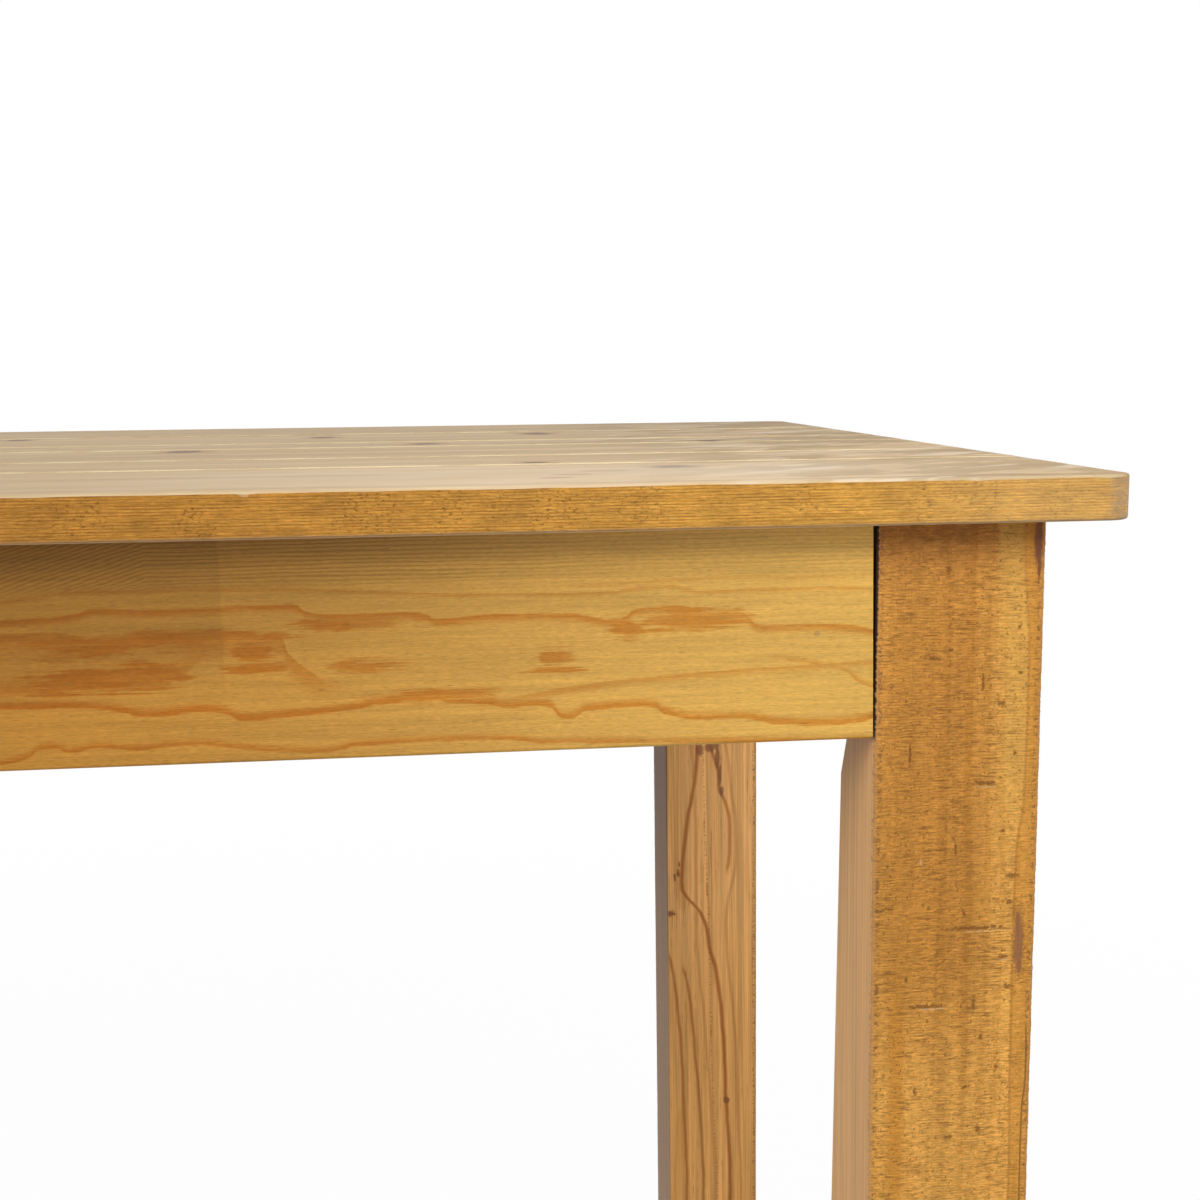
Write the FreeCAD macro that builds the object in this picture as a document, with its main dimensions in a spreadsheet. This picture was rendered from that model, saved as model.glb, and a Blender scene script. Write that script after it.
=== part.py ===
import FreeCAD, Part

import math
import os

import Sketcher

# Farmhouse table in millimetres. X runs along the table, the front faces minus Y and the floor is at Z = 0.

SIZES = {
    "table_height": 770,
    "top_length": 1800,
    "top_thickness": 21,
    "plank_1_width": 164,
    "plank_2_width": 98,
    "plank_3_width": 135,
    "plank_4_width": 76,
    "plank_5_width": 157,
    "plank_6_width": 170,
    "top_corner_radius": 15,
    "top_edge_round": 1.2,
    "seam_bevel": 1,
    "end_overhang": 40,
    "side_overhang": 10,
    "leg_width": 80,
    "leg_edge_chamfer": 1,
    "foot_chamfer": 4,
    "corner_flat_reach": 34,
    "corner_flat_rise": 3,
    "corner_flat_drop": 31,
    "run_out_reach": 15.4,
    "front_run_out_length": 295,
    "rear_run_out_length": 110,
    "apron_height": 100,
    "apron_thickness": 20,
    "apron_reveal": 1.2,
    "apron_gap_top": 1.6,
    "apron_gap_bottom": 0.5,
    "apron_edge_round": 1.5,
    "groove_drop": 10,
    "groove_width": 7,
    "groove_depth": 8,
    "fastening_pitch": 400,
    "dowel_diameter": 8,
    "dowel_length": 40,
    "dowel_pitch": 300,
    "batten_width": 60,
    "batten_thickness": 18,
    "batten_end_gap": 3,
    "batten_edge_chamfer": 3,
    "button_length": 36,
    "button_width": 28,
    "button_thickness": 17,
    "button_face_gap": 2,
    "tongue_thickness": 6,
    "tongue_reach": 7,
    "bracket_drop": 20,
    "bracket_height": 64,
    "bracket_thickness": 2,
    "bracket_standoff": 13,
    "bracket_wing": 32,
    "bracket_hook": 7,
    "bracket_bend_radius": 2,
    "bracket_screw_spacing": 34,
    "kerf_width": 2.6,
    "kerf_depth": 9,
    "bolt_diameter": 8,
    "bolt_spacing": 32,
    "bolt_wood_length": 42,
    "bolt_point_length": 10,
    "bolt_spare_length": 8,
    "bolt_end_chamfer": 1,
    "washer_diameter": 20,
    "washer_thickness": 1.6,
    "nut_across_flats": 13,
    "nut_height": 6.5,
    "screw_diameter": 4,
    "screw_head_diameter": 8,
    "screw_head_height": 2.5,
    "screw_head_ease": 1,
    "screw_point_length": 5,
    "screw_bite": 13,
    "glide_diameter": 26,
    "glide_thickness": 4,
    "glide_ease": 1.2,
    "glide_nail_diameter": 3,
    "glide_nail_length": 16,
    "fit_clearance": 0.1,
    "hole_end_clearance": 1,
    "bolt_hole_clearance": 0.5,
}

DOWELS_PER_SEAM = 6
BATTENS = {"left": -1, "centre": 0, "right": 1}
BUTTONS_PER_LONG_APRON = 4
END_BUTTON_PLANKS = ("plank_3_width", "plank_5_width")
SCREW_PLACES_IN_PLANK = (0.3, 0.7)

# Each corner: direction of the corner along X and Y, and the turn that points local X at the table's middle.
CORNERS = {
    "front_left": (-1, -1, 45),
    "front_right": (1, -1, 135),
    "rear_right": (1, 1, 225),
    "rear_left": (-1, 1, 315),
}

doc = FreeCAD.newDocument("farmhouse_table")
sheet = doc.addObject("Spreadsheet::Sheet", "Sizes")
nodes = []


# Sizes that carry their sheet expression

class Size:
    """A size in millimetres with the sheet expression that gives it."""

    def __init__(self, text, value):
        self.text = text
        self.value = value

    def __add__(self, other):
        other = as_size(other)
        return Size(f"({self.text} + {other.text})", self.value + other.value)

    def __sub__(self, other):
        other = as_size(other)
        return Size(f"({self.text} - {other.text})", self.value - other.value)

    def __mul__(self, other):
        other = as_size(other)
        return Size(f"({self.text} * {other.text})", self.value * other.value)

    def __truediv__(self, other):
        other = as_size(other)
        return Size(f"({self.text} / {other.text})", self.value / other.value)

    def __neg__(self):
        return Size(f"(0 - {self.text})", -self.value)


def as_size(item):
    if isinstance(item, Size):
        return item
    return Size(str(item), float(item))


def fill_sheet():
    sizes = {}
    for row, (name, value) in enumerate(SIZES.items(), start=1):
        sheet.set(f"A{row}", name)
        sheet.set(f"B{row}", str(value))
        sheet.setAlias(f"B{row}", name)
        sizes[name] = Size(f"Sizes.{name}", float(value))
    doc.recompute()
    return sizes


size = fill_sheet()
HALF_ROOT = Size("sqrt(0.5)", math.sqrt(0.5))

# Sizes worked out from the driving ones

plank_names = [name for name in SIZES if name.startswith("plank_")]
plank_widths = [size[name] for name in plank_names]
plank_fronts = [as_size(0)]
for width in plank_widths:
    plank_fronts.append(plank_fronts[-1] + width)
top_width = plank_fronts[-1]
half_length = size["top_length"] / 2
half_width = top_width / 2
under_top = size["table_height"] - size["top_thickness"]

leg_height = under_top - size["glide_thickness"]
leg_face_x = half_length - size["end_overhang"] - size["leg_width"]
leg_face_y = half_width - size["side_overhang"] - size["leg_width"]
leg_centre_x = leg_face_x + size["leg_width"] / 2
leg_centre_y = leg_face_y + size["leg_width"] / 2

apron_inner = size["leg_width"] / 2 - size["apron_reveal"] - size["apron_thickness"]
inner_x = leg_centre_x + apron_inner
inner_y = leg_centre_y + apron_inner

leg_corner = size["leg_width"] * HALF_ROOT
flat_face = (size["leg_width"] - size["corner_flat_reach"]) * HALF_ROOT
run_out_face = (size["leg_width"] - size["run_out_reach"]) * HALF_ROOT
plate_face = flat_face + size["bracket_standoff"]
plate_back = plate_face + size["bracket_thickness"]
plate_half = plate_face + apron_inner / HALF_ROOT
wing_start = (plate_face + plate_half) * HALF_ROOT
wing_end = wing_start + size["bracket_wing"]
bracket_middle = size["bracket_drop"] + size["bracket_height"] / 2
bolt_drops = [bracket_middle - size["bolt_spacing"] / 2, bracket_middle + size["bolt_spacing"] / 2]
wing_screw_drops = [
    bracket_middle - size["bracket_screw_spacing"] / 2,
    bracket_middle + size["bracket_screw_spacing"] / 2,
]
wing_screw_run = (wing_start + wing_end) / 2

screw_hole_radius = size["screw_diameter"] / 2 + size["fit_clearance"]
button_screw_run = size["button_face_gap"] + size["button_length"] / 2


def spread(count, pitch):
    """Places of `count` things at one pitch, centred on zero."""
    return [pitch * (number - (count - 1) / 2) for number in range(count)]


# Battens and buttons share one pitch, so each button falls midway between two battens.
dowel_places = spread(DOWELS_PER_SEAM, size["dowel_pitch"])
batten_places = {side: size["fastening_pitch"] * sign for side, sign in BATTENS.items()}
long_button_places = spread(BUTTONS_PER_LONG_APRON, size["fastening_pitch"])


def plank_middle(number):
    """Distance of a plank's middle from the middle of the table along Y."""
    return plank_fronts[number - 1] + plank_widths[number - 1] / 2 - half_width


end_button_places = [plank_middle(plank_names.index(name) + 1) for name in END_BUTTON_PLANKS]


def plank_screw_places(number):
    """Distances of a plank's two rows of batten screws from its front edge."""
    return [plank_widths[number - 1] * share for share in SCREW_PLACES_IN_PLANK]


# Modelling helpers

def tie(thing, name, item):
    thing.setExpression(name, as_size(item).text)


def place(thing, turn, x, y, z):
    thing.Placement = FreeCAD.Placement(FreeCAD.Vector(), turn)
    tie(thing, "Placement.Base.x", x)
    tie(thing, "Placement.Base.y", y)
    tie(thing, "Placement.Base.z", z)


def turn_about_z(degrees):
    return FreeCAD.Rotation(FreeCAD.Vector(0, 0, 1), degrees)


def new_body(label):
    body = doc.addObject("PartDesign::Body", label)
    body.Label = label
    return body


def new_sketch(body, name, role, lift=0, swing=0):
    """Sketch on one of the body's own planes, moved `lift` along its normal or swung about its upright axis."""
    plane = next(item for item in body.Origin.OriginFeatures if item.Role == role)
    sketch = body.newObject("Sketcher::SketchObject", f"{body.Name}_{name}")
    sketch.AttachmentSupport = [(plane, "")]
    sketch.MapMode = "FlatFace"
    sketch.AttachmentOffset = FreeCAD.Placement(
        FreeCAD.Vector(), FreeCAD.Rotation(FreeCAD.Vector(0, 1, 0), swing))
    tie(sketch, "AttachmentOffset.Base.z", lift)
    return sketch


def pin_point(sketch, geometry, point_of_geometry, point):
    """Hold a sketch point at the given distances from the sketch's origin."""
    for kind, axis, item in zip(("DistanceX", "DistanceY"), (-2, -1), point):
        item = as_size(item)
        if item.value == 0:
            sketch.addConstraint(Sketcher.Constraint("PointOnObject", geometry, point_of_geometry, axis))
            continue
        index = sketch.addConstraint(
            Sketcher.Constraint(kind, -1, 1, geometry, point_of_geometry, item.value))
        tie(sketch, f"Constraints[{index}]", item)


def draw_outline(sketch, points):
    corners = [FreeCAD.Vector(as_size(x).value, as_size(y).value, 0) for x, y in points]
    first = sketch.GeometryCount
    count = len(corners)
    for index in range(count):
        sketch.addGeometry(Part.LineSegment(corners[index], corners[(index + 1) % count]), False)
    for index in range(count):
        following = first + (index + 1) % count
        sketch.addConstraint(Sketcher.Constraint("Coincident", first + index, 2, following, 1))
        pin_point(sketch, first + index, 1, points[index])


def draw_rectangle(sketch, low, high):
    draw_outline(sketch, [low, (high[0], low[1]), high, (low[0], high[1])])


def draw_circle(sketch, centre, radius):
    middle = FreeCAD.Vector(as_size(centre[0]).value, as_size(centre[1]).value, 0)
    geometry = sketch.addGeometry(Part.Circle(middle, FreeCAD.Vector(0, 0, 1), radius.value), False)
    pin_point(sketch, geometry, 3, centre)
    index = sketch.addConstraint(Sketcher.Constraint("Radius", geometry, radius.value))
    tie(sketch, f"Constraints[{index}]", radius)


def add_feature(body, kind, name):
    feature = body.newObject(f"PartDesign::{kind}", f"{body.Name}_{name}")
    body.Tip = feature
    return feature


def pad(body, sketch, length, symmetric=False):
    feature = add_feature(body, "Pad", "pad")
    feature.Profile = sketch
    tie(feature, "Length", length)
    if symmetric:
        feature.SideType = "Symmetric"
    return feature


def cut(body, sketch, depth, name, backwards=False):
    """Pocket of one depth on the side that the sketch faces away from, or on the other side if backwards."""
    before = solid_volume(body)
    feature = add_feature(body, "Pocket", name)
    feature.Profile = sketch
    tie(feature, "Length", depth)
    feature.Reversed = backwards
    check_cut(body, before, name)
    return feature


def cut_through(body, sketch, name):
    before = solid_volume(body)
    feature = add_feature(body, "Pocket", name)
    feature.Profile = sketch
    feature.Type = "ThroughAll"
    feature.SideType = "Symmetric"
    check_cut(body, before, name)
    return feature


def solid_volume(body):
    doc.recompute()
    return body.Shape.Volume


def check_cut(body, before, name):
    if not solid_volume(body) < before:
        raise RuntimeError(f"{body.Label}: {name} removes nothing")


def revolve(body, sketch, axis):
    feature = add_feature(body, "Revolution", "turned")
    feature.Profile = sketch
    feature.ReferenceAxis = (sketch, [axis])
    feature.Angle = 360
    return feature


def soften(body, kind, amount, wanted, name):
    """Fillet or chamfer the edges of the body's last feature that `wanted` picks."""
    doc.recompute()
    base = body.Tip
    edges = [f"Edge{number}" for number, edge in enumerate(base.Shape.Edges, start=1) if wanted(edge)]
    feature = add_feature(body, kind, name)
    feature.Base = (base, edges)
    tie(feature, "Radius" if kind == "Fillet" else "Size", amount)
    return feature


def near(one, other):
    return abs(one - as_size(other).value) < 1e-4


def is_upright(edge):
    box = edge.BoundBox
    return near(box.XLength, 0) and near(box.YLength, 0)


def is_level(edge):
    return near(edge.BoundBox.ZLength, 0)


def copy_of(template, label, turn, x, y, z):
    link = doc.addObject("App::Link", label)
    link.LinkedObject = template
    place(link, turn, x, y, z)
    return link


def add_group(label, copies):
    """One node that holds identical pieces as separate solids."""
    group = doc.addObject("Part::Compound", label)
    group.Label = label
    group.Links = copies
    nodes.append(group)


def add_node(body):
    nodes.append(body)


# Table top

def plank(number):
    body = new_body(f"top_plank_{number}")
    width = plank_widths[number - 1]
    thickness = size["top_thickness"]
    is_front = number == 1
    is_rear = number == len(plank_widths)

    outline = new_sketch(body, "outline", "XY_Plane")
    draw_rectangle(outline, (-half_length, 0), (half_length, width))
    pad(body, outline, thickness)
    if is_front or is_rear:
        outer_y = as_size(0) if is_front else width
        soften(body, "Fillet", size["top_corner_radius"],
               lambda edge: is_upright(edge) and near(edge.CenterOfMass.y, outer_y), "corner")

    def is_outer_arris(edge):
        box = edge.BoundBox
        on_front_seam = near(box.YMax, 0) and not is_front
        on_rear_seam = near(box.YMin, width) and not is_rear
        return is_level(edge) and not on_front_seam and not on_rear_seam

    soften(body, "Fillet", size["top_edge_round"], is_outer_arris, "arris")
    seam_bevels(body, width, not is_front, not is_rear)
    if not is_front:
        seam_holes(body, "front", 0, False)
    if not is_rear:
        seam_holes(body, "rear", width, True)
    underside_holes(body, number)
    place(body, turn_about_z(0), 0, plank_fronts[number - 1] - half_width, under_top)
    add_node(body)


def seam_bevels(body, width, at_front, at_rear):
    bevel = size["seam_bevel"]
    thickness = size["top_thickness"]
    section = new_sketch(body, "bevel", "YZ_Plane")
    if at_front:
        draw_outline(section, [(0, thickness - bevel), (bevel, thickness), (0, thickness)])
    if at_rear:
        draw_outline(section, [(width, thickness - bevel), (width, thickness), (width - bevel, thickness)])
    cut_through(body, section, "seam_bevel")


def seam_holes(body, side, seam_y, backwards):
    holes = new_sketch(body, f"{side}_dowels", "XZ_Plane", -as_size(seam_y))
    for x in dowel_places:
        draw_circle(holes, (x, size["top_thickness"] / 2), size["dowel_diameter"] / 2 + size["fit_clearance"])
    depth = size["dowel_length"] / 2 + size["hole_end_clearance"]
    cut(body, holes, depth, f"{side}_dowel_holes", backwards)


def underside_holes(body, number):
    """Pilot holes for the batten screws and for the button screws that end in this plank."""
    holes = new_sketch(body, "screws", "XY_Plane")
    for batten_x in batten_places.values():
        for y in plank_screw_places(number):
            draw_circle(holes, (batten_x, y), screw_hole_radius)
    for x, y in button_screw_places():
        local_y = y + half_width - plank_fronts[number - 1]
        if 0 < local_y.value < plank_widths[number - 1].value:
            draw_circle(holes, (x, local_y), screw_hole_radius)
    cut(body, holes, size["screw_bite"] + size["hole_end_clearance"], "screw_holes", True)


def button_screw_places():
    places = []
    for x in long_button_places:
        places.append((x, -inner_y + button_screw_run))
        places.append((x, inner_y - button_screw_run))
    for y in end_button_places:
        places.append((-inner_x + button_screw_run, y))
        places.append((inner_x - button_screw_run, y))
    return places


def dowels():
    template = doc.addObject("Part::Cylinder", "dowel")
    tie(template, "Radius", size["dowel_diameter"] / 2)
    tie(template, "Height", size["dowel_length"])
    along_y = FreeCAD.Rotation(FreeCAD.Vector(1, 0, 0), -90)
    for seam in range(1, len(plank_widths)):
        start_y = plank_fronts[seam] - half_width - size["dowel_length"] / 2
        height = under_top + size["top_thickness"] / 2
        copies = [
            copy_of(template, f"seam_{seam}_dowel_{number}", along_y, x, start_y, height)
            for number, x in enumerate(dowel_places, start=1)
        ]
        add_group(f"seam_dowels_{seam}", copies)


# Battens under the top

def batten(side, batten_x):
    body = new_body(f"cross_batten_{side}")
    half_span = inner_y - size["batten_end_gap"]
    half_batten = size["batten_width"] / 2
    outline = new_sketch(body, "outline", "XY_Plane")
    draw_rectangle(outline, (-half_batten, -half_span), (half_batten, half_span))
    pad(body, outline, size["batten_thickness"])
    soften(body, "Chamfer", size["batten_edge_chamfer"],
           lambda edge: is_level(edge) and near(edge.CenterOfMass.z, 0), "lower_edges")
    holes = new_sketch(body, "screws", "XY_Plane")
    for y in batten_screw_places():
        draw_circle(holes, (0, y), screw_hole_radius)
    cut_through(body, holes, "screw_holes")
    place(body, turn_about_z(0), batten_x, 0, under_top - size["batten_thickness"])
    add_node(body)


def batten_screw_places():
    places = []
    for number in range(1, len(plank_widths) + 1):
        for y in plank_screw_places(number):
            places.append(plank_fronts[number - 1] + y - half_width)
    return places


def screw_template(label, length):
    """Round-headed wood screw along plus Z whose head seats at Z = 0."""
    body = new_body(label)
    head = size["screw_head_diameter"] / 2
    ease = size["screw_head_ease"]
    shank = size["screw_diameter"] / 2
    profile = new_sketch(body, "profile", "XZ_Plane")
    draw_outline(profile, [
        (0, -size["screw_head_height"]),
        (head - ease, -size["screw_head_height"]),
        (head, ease - size["screw_head_height"]),
        (head, 0),
        (shank, 0),
        (shank, length - size["screw_point_length"]),
        (0, length),
    ])
    revolve(body, profile, "V_Axis")
    return body


def batten_screws():
    template = screw_template("batten_screw", size["batten_thickness"] + size["screw_bite"])
    height = under_top - size["batten_thickness"]
    for side, batten_x in batten_places.items():
        copies = [
            copy_of(template, f"{side}_batten_screw_{number}", turn_about_z(0), batten_x, y, height)
            for number, y in enumerate(batten_screw_places(), start=1)
        ]
        add_group(f"batten_screws_{side}", copies)


# Aprons and the buttons that hold the top to them

def apron(label, turn, leg_face, x, y):
    """Apron between two legs, with its inner face towards local plus Y and its upper edge at local Z = 0."""
    body = new_body(label)
    height = size["apron_height"]
    half_thickness = size["apron_thickness"] / 2
    upper_end = leg_face - size["apron_gap_top"]
    lower_end = leg_face - size["apron_gap_bottom"]
    outline = new_sketch(body, "outline", "XZ_Plane")
    draw_outline(outline, [(-upper_end, 0), (upper_end, 0), (lower_end, -height), (-lower_end, -height)])
    pad(body, outline, size["apron_thickness"], symmetric=True)
    soften(body, "Fillet", size["apron_edge_round"],
           lambda edge: near(edge.CenterOfMass.z, -height) and edge.BoundBox.XLength > half_thickness.value,
           "lower_arris")

    groove = new_sketch(body, "groove", "XZ_Plane", -half_thickness)
    groove_top = -size["groove_drop"]
    draw_rectangle(groove, (-leg_face, groove_top - size["groove_width"]), (leg_face, groove_top))
    cut(body, groove, size["groove_depth"], "button_groove", True)

    kerfs = new_sketch(body, "kerfs", "XZ_Plane", -half_thickness)
    kerf_middle = leg_face + size["leg_width"] / 2 - wing_end + size["bracket_thickness"] / 2
    kerf_foot = -(size["bracket_drop"] + size["bracket_height"] + size["hole_end_clearance"])
    for side in (-1, 1):
        middle = kerf_middle * side
        half_kerf = size["kerf_width"] / 2
        draw_rectangle(kerfs, (middle - half_kerf, kerf_foot), (middle + half_kerf, 0))
    cut(body, kerfs, size["kerf_depth"], "hook_kerfs", True)

    holes = new_sketch(body, "screws", "XZ_Plane", -half_thickness)
    hole_run = leg_face + size["leg_width"] / 2 - wing_screw_run
    for side in (-1, 1):
        for drop in wing_screw_drops:
            draw_circle(holes, (hole_run * side, -drop), screw_hole_radius)
    cut(body, holes, size["screw_bite"] + size["hole_end_clearance"], "screw_holes", True)
    place(body, turn_about_z(turn), x, y, under_top)
    add_node(body)


def aprons():
    centre_x = inner_x + size["apron_thickness"] / 2
    centre_y = inner_y + size["apron_thickness"] / 2
    apron("long_apron_front", 0, leg_face_x, 0, -centre_y)
    apron("long_apron_rear", 180, leg_face_x, 0, centre_y)
    apron("end_apron_right", 90, leg_face_y, centre_x, 0)
    apron("end_apron_left", 270, leg_face_y, -centre_x, 0)


def button_template():
    """Wooden button with its tongue at minus X, measured from the apron's inner face, and its top at Z = 0."""
    body = new_body("top_button")
    block_start = size["button_face_gap"]
    block_end = block_start + size["button_length"]
    tongue_top = -size["groove_drop"]
    tongue_foot = tongue_top - size["tongue_thickness"]
    profile = new_sketch(body, "profile", "XZ_Plane")
    draw_outline(profile, [
        (-size["tongue_reach"], tongue_foot),
        (block_start, tongue_foot),
        (block_start, -size["button_thickness"]),
        (block_end, -size["button_thickness"]),
        (block_end, 0),
        (block_start, 0),
        (block_start, tongue_top),
        (-size["tongue_reach"], tongue_top),
    ])
    pad(body, profile, size["button_width"], symmetric=True)
    hole = new_sketch(body, "screw", "XY_Plane")
    draw_circle(hole, (button_screw_run, 0), screw_hole_radius)
    cut_through(body, hole, "screw_hole")
    return body


def buttons():
    button = button_template()
    screw = screw_template("button_screw", size["button_thickness"] + size["screw_bite"])
    rows = {
        "front": (90, [(x, -inner_y) for x in long_button_places]),
        "rear": (270, [(x, inner_y) for x in long_button_places]),
        "left": (0, [(-inner_x, y) for y in end_button_places]),
        "right": (180, [(inner_x, y) for y in end_button_places]),
    }
    screw_height = under_top - size["button_thickness"]
    screws = []
    for side, (turn, places) in rows.items():
        inward_x = round(math.cos(math.radians(turn)))
        inward_y = round(math.sin(math.radians(turn)))
        copies = []
        for number, (x, y) in enumerate(places, start=1):
            copies.append(copy_of(button, f"{side}_button_{number}", turn_about_z(turn), x, y, under_top))
            screw_x = x + button_screw_run * inward_x
            screw_y = y + button_screw_run * inward_y
            name = f"{side}_button_screw_{number}"
            screws.append(copy_of(screw, name, turn_about_z(0), screw_x, screw_y, screw_height))
        add_group(f"top_buttons_{side}", copies)
    add_group("button_screws", screws)


# Legs. In a leg's own frame the foot is at Z = 0 and plus X points from the leg's axis to the table's middle.

def leg(corner):
    body = new_body(f"leg_{corner}")
    outline = new_sketch(body, "outline", "XY_Plane")
    draw_outline(outline, [(leg_corner, 0), (0, leg_corner), (-leg_corner, 0), (0, -leg_corner)])
    pad(body, outline, leg_height)
    soften(body, "Chamfer", size["foot_chamfer"],
           lambda edge: is_level(edge) and near(edge.CenterOfMass.z, 0), "foot")
    soften(body, "Chamfer", size["leg_edge_chamfer"], is_upright, "long_edges")

    # The flat for the bracket ends below the apron and then runs out slowly along the leg's inside corner.
    row = corner.split("_")[0]
    apron_foot = leg_height - size["apron_height"]
    flat_foot = apron_foot - size["corner_flat_drop"]
    flat = new_sketch(body, "corner_flat", "XZ_Plane")
    draw_outline(flat, [
        (flat_face, leg_height),
        (flat_face, apron_foot + size["corner_flat_rise"]),
        (run_out_face, flat_foot),
        (leg_corner, flat_foot - size[f"{row}_run_out_length"]),
        (leg_corner, leg_height),
    ])
    cut_through(body, flat, "corner_flat")

    holes = new_sketch(body, "bolts", "YZ_Plane", flat_face)
    for drop in bolt_drops:
        draw_circle(holes, (0, leg_height - drop), size["bolt_diameter"] / 2 + size["fit_clearance"])
    cut(body, holes, size["bolt_wood_length"] + size["hole_end_clearance"], "bolt_holes")

    nail = new_sketch(body, "nail", "XY_Plane")
    draw_circle(nail, (0, 0), size["glide_nail_diameter"] / 2 + size["fit_clearance"])
    cut(body, nail, size["glide_nail_length"] + size["hole_end_clearance"], "nail_hole", True)
    place_at_corner(body, corner, size["glide_thickness"])
    add_node(body)


def place_at_corner(thing, corner, z):
    side_x, side_y, turn = CORNERS[corner]
    place(thing, turn_about_z(turn), leg_centre_x * side_x, leg_centre_y * side_y, z)


def copy_at_corner(template, label, corner, z):
    side_x, side_y, turn = CORNERS[corner]
    return copy_of(template, label, turn_about_z(turn), leg_centre_x * side_x, leg_centre_y * side_y, z)


def foot_glides():
    body = new_body("foot_glide")
    radius = size["glide_diameter"] / 2
    nail = size["glide_nail_diameter"] / 2
    thickness = size["glide_thickness"]
    profile = new_sketch(body, "profile", "XZ_Plane")
    draw_outline(profile, [
        (0, 0),
        (radius - size["glide_ease"], 0),
        (radius, size["glide_ease"]),
        (radius, thickness),
        (nail, thickness),
        (nail, thickness + size["glide_nail_length"] - nail),
        (0, thickness + size["glide_nail_length"]),
    ])
    revolve(body, profile, "V_Axis")
    copies = [copy_at_corner(body, f"{corner}_glide", corner, 0) for corner in CORNERS]
    add_group("foot_glides", copies)


# Corner joint: bracket across the corner, hooked into the aprons, and two bolts that draw the leg in

def bracket_outline():
    """Bent strip seen from above: plate across the corner, a wing along each apron, a hook in each kerf."""
    thickness = size["bracket_thickness"]
    bend = thickness * (math.sqrt(2) - 1)

    def wing_point(run, towards_apron):
        """Point on one wing: distance along the apron from the leg's axis, and depth past its inner face."""
        depth = apron_inner + towards_apron
        return ((as_size(run) - depth) * HALF_ROOT, (as_size(run) + depth) * HALF_ROOT)

    one_side = [
        (plate_face, plate_half),
        wing_point(wing_end - thickness, 0),
        wing_point(wing_end - thickness, size["bracket_hook"]),
        wing_point(wing_end, size["bracket_hook"]),
        wing_point(wing_end, -thickness),
        (plate_back, plate_half - bend),
    ]
    other_side = [(x, -y) for x, y in reversed(one_side)]
    return one_side + other_side


def corner_bracket(corner):
    body = new_body(f"corner_bracket_{corner}")
    strip = new_sketch(body, "strip", "XY_Plane")
    draw_outline(strip, bracket_outline())
    pad(body, strip, size["bracket_height"])
    bend_corners = bracket_outline()
    outside = [bend_corners[index] for index in (0, 4, 7, 11)]
    inside = [bend_corners[index] for index in (5, 6)]

    def stands_at(corners):
        def wanted(edge):
            middle = edge.CenterOfMass
            at_corner = any(near(middle.x, x) and near(middle.y, y) for x, y in corners)
            return is_upright(edge) and at_corner
        return wanted

    soften(body, "Fillet", size["bracket_bend_radius"], stands_at(inside), "inside_bends")
    outside_radius = size["bracket_bend_radius"] + size["bracket_thickness"]
    soften(body, "Fillet", outside_radius, stands_at(outside), "outside_bends")

    top_edge = size["bracket_drop"] + size["bracket_height"]
    bolt_holes = new_sketch(body, "bolts", "YZ_Plane", plate_back)
    for drop in bolt_drops:
        draw_circle(bolt_holes, (0, top_edge - drop), size["bolt_diameter"] / 2 + size["bolt_hole_clearance"])
    cut(body, bolt_holes, size["bracket_thickness"] + size["hole_end_clearance"], "bolt_holes")

    for side, swing, sign in (("one", -45, 1), ("other", 45, -1)):
        screw_holes = new_sketch(body, f"screws_{side}", "YZ_Plane", 0, swing)
        for drop in wing_screw_drops:
            draw_circle(screw_holes, (wing_screw_run * sign, top_edge - drop), screw_hole_radius)
        cut_through(body, screw_holes, f"screw_holes_{side}")
    place_at_corner(body, corner, under_top - top_edge)
    add_node(body)


def hanger_bolt_template():
    """Bolt along local X, at the distances from the leg's axis where it stands in the leg."""
    body = new_body("hanger_bolt")
    radius = size["bolt_diameter"] / 2
    tip = flat_face - size["bolt_wood_length"]
    nut_end = plate_back + size["washer_thickness"] + size["nut_height"]
    end = nut_end + size["bolt_spare_length"]
    chamfer = size["bolt_end_chamfer"]
    profile = new_sketch(body, "profile", "XZ_Plane")
    draw_outline(profile, [
        (tip, 0),
        (tip + size["bolt_point_length"], radius),
        (end - chamfer, radius),
        (end, radius - chamfer),
        (end, 0),
    ])
    revolve(body, profile, "H_Axis")
    return body


def washer_template():
    body = new_body("bolt_washer")
    ring = new_sketch(body, "ring", "YZ_Plane", plate_back)
    draw_circle(ring, (0, 0), size["washer_diameter"] / 2)
    draw_circle(ring, (0, 0), size["bolt_diameter"] / 2 + size["bolt_hole_clearance"])
    pad(body, ring, size["washer_thickness"])
    return body


def nut_template():
    body = new_body("bolt_nut")
    half_flats = size["nut_across_flats"] / 2
    hexagon = []
    for side in range(6):
        angle = math.radians(60 * side + 30)
        reach = half_flats / math.cos(math.radians(30))
        hexagon.append((reach * round(math.cos(angle), 9), reach * round(math.sin(angle), 9)))
    section = new_sketch(body, "hexagon", "YZ_Plane", plate_back + size["washer_thickness"])
    draw_outline(section, hexagon)
    draw_circle(section, (0, 0), size["bolt_diameter"] / 2 + size["fit_clearance"])
    pad(body, section, size["nut_height"])
    return body


def corner_fasteners():
    templates = {
        "hanger_bolts": hanger_bolt_template(),
        "bolt_washers": washer_template(),
        "bolt_nuts": nut_template(),
    }
    for name, template in templates.items():
        for corner in CORNERS:
            copies = [
                copy_at_corner(template, f"{corner}_{name}_{number}", corner, under_top - drop)
                for number, drop in enumerate(bolt_drops, start=1)
            ]
            add_group(f"{name}_{corner}", copies)


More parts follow.
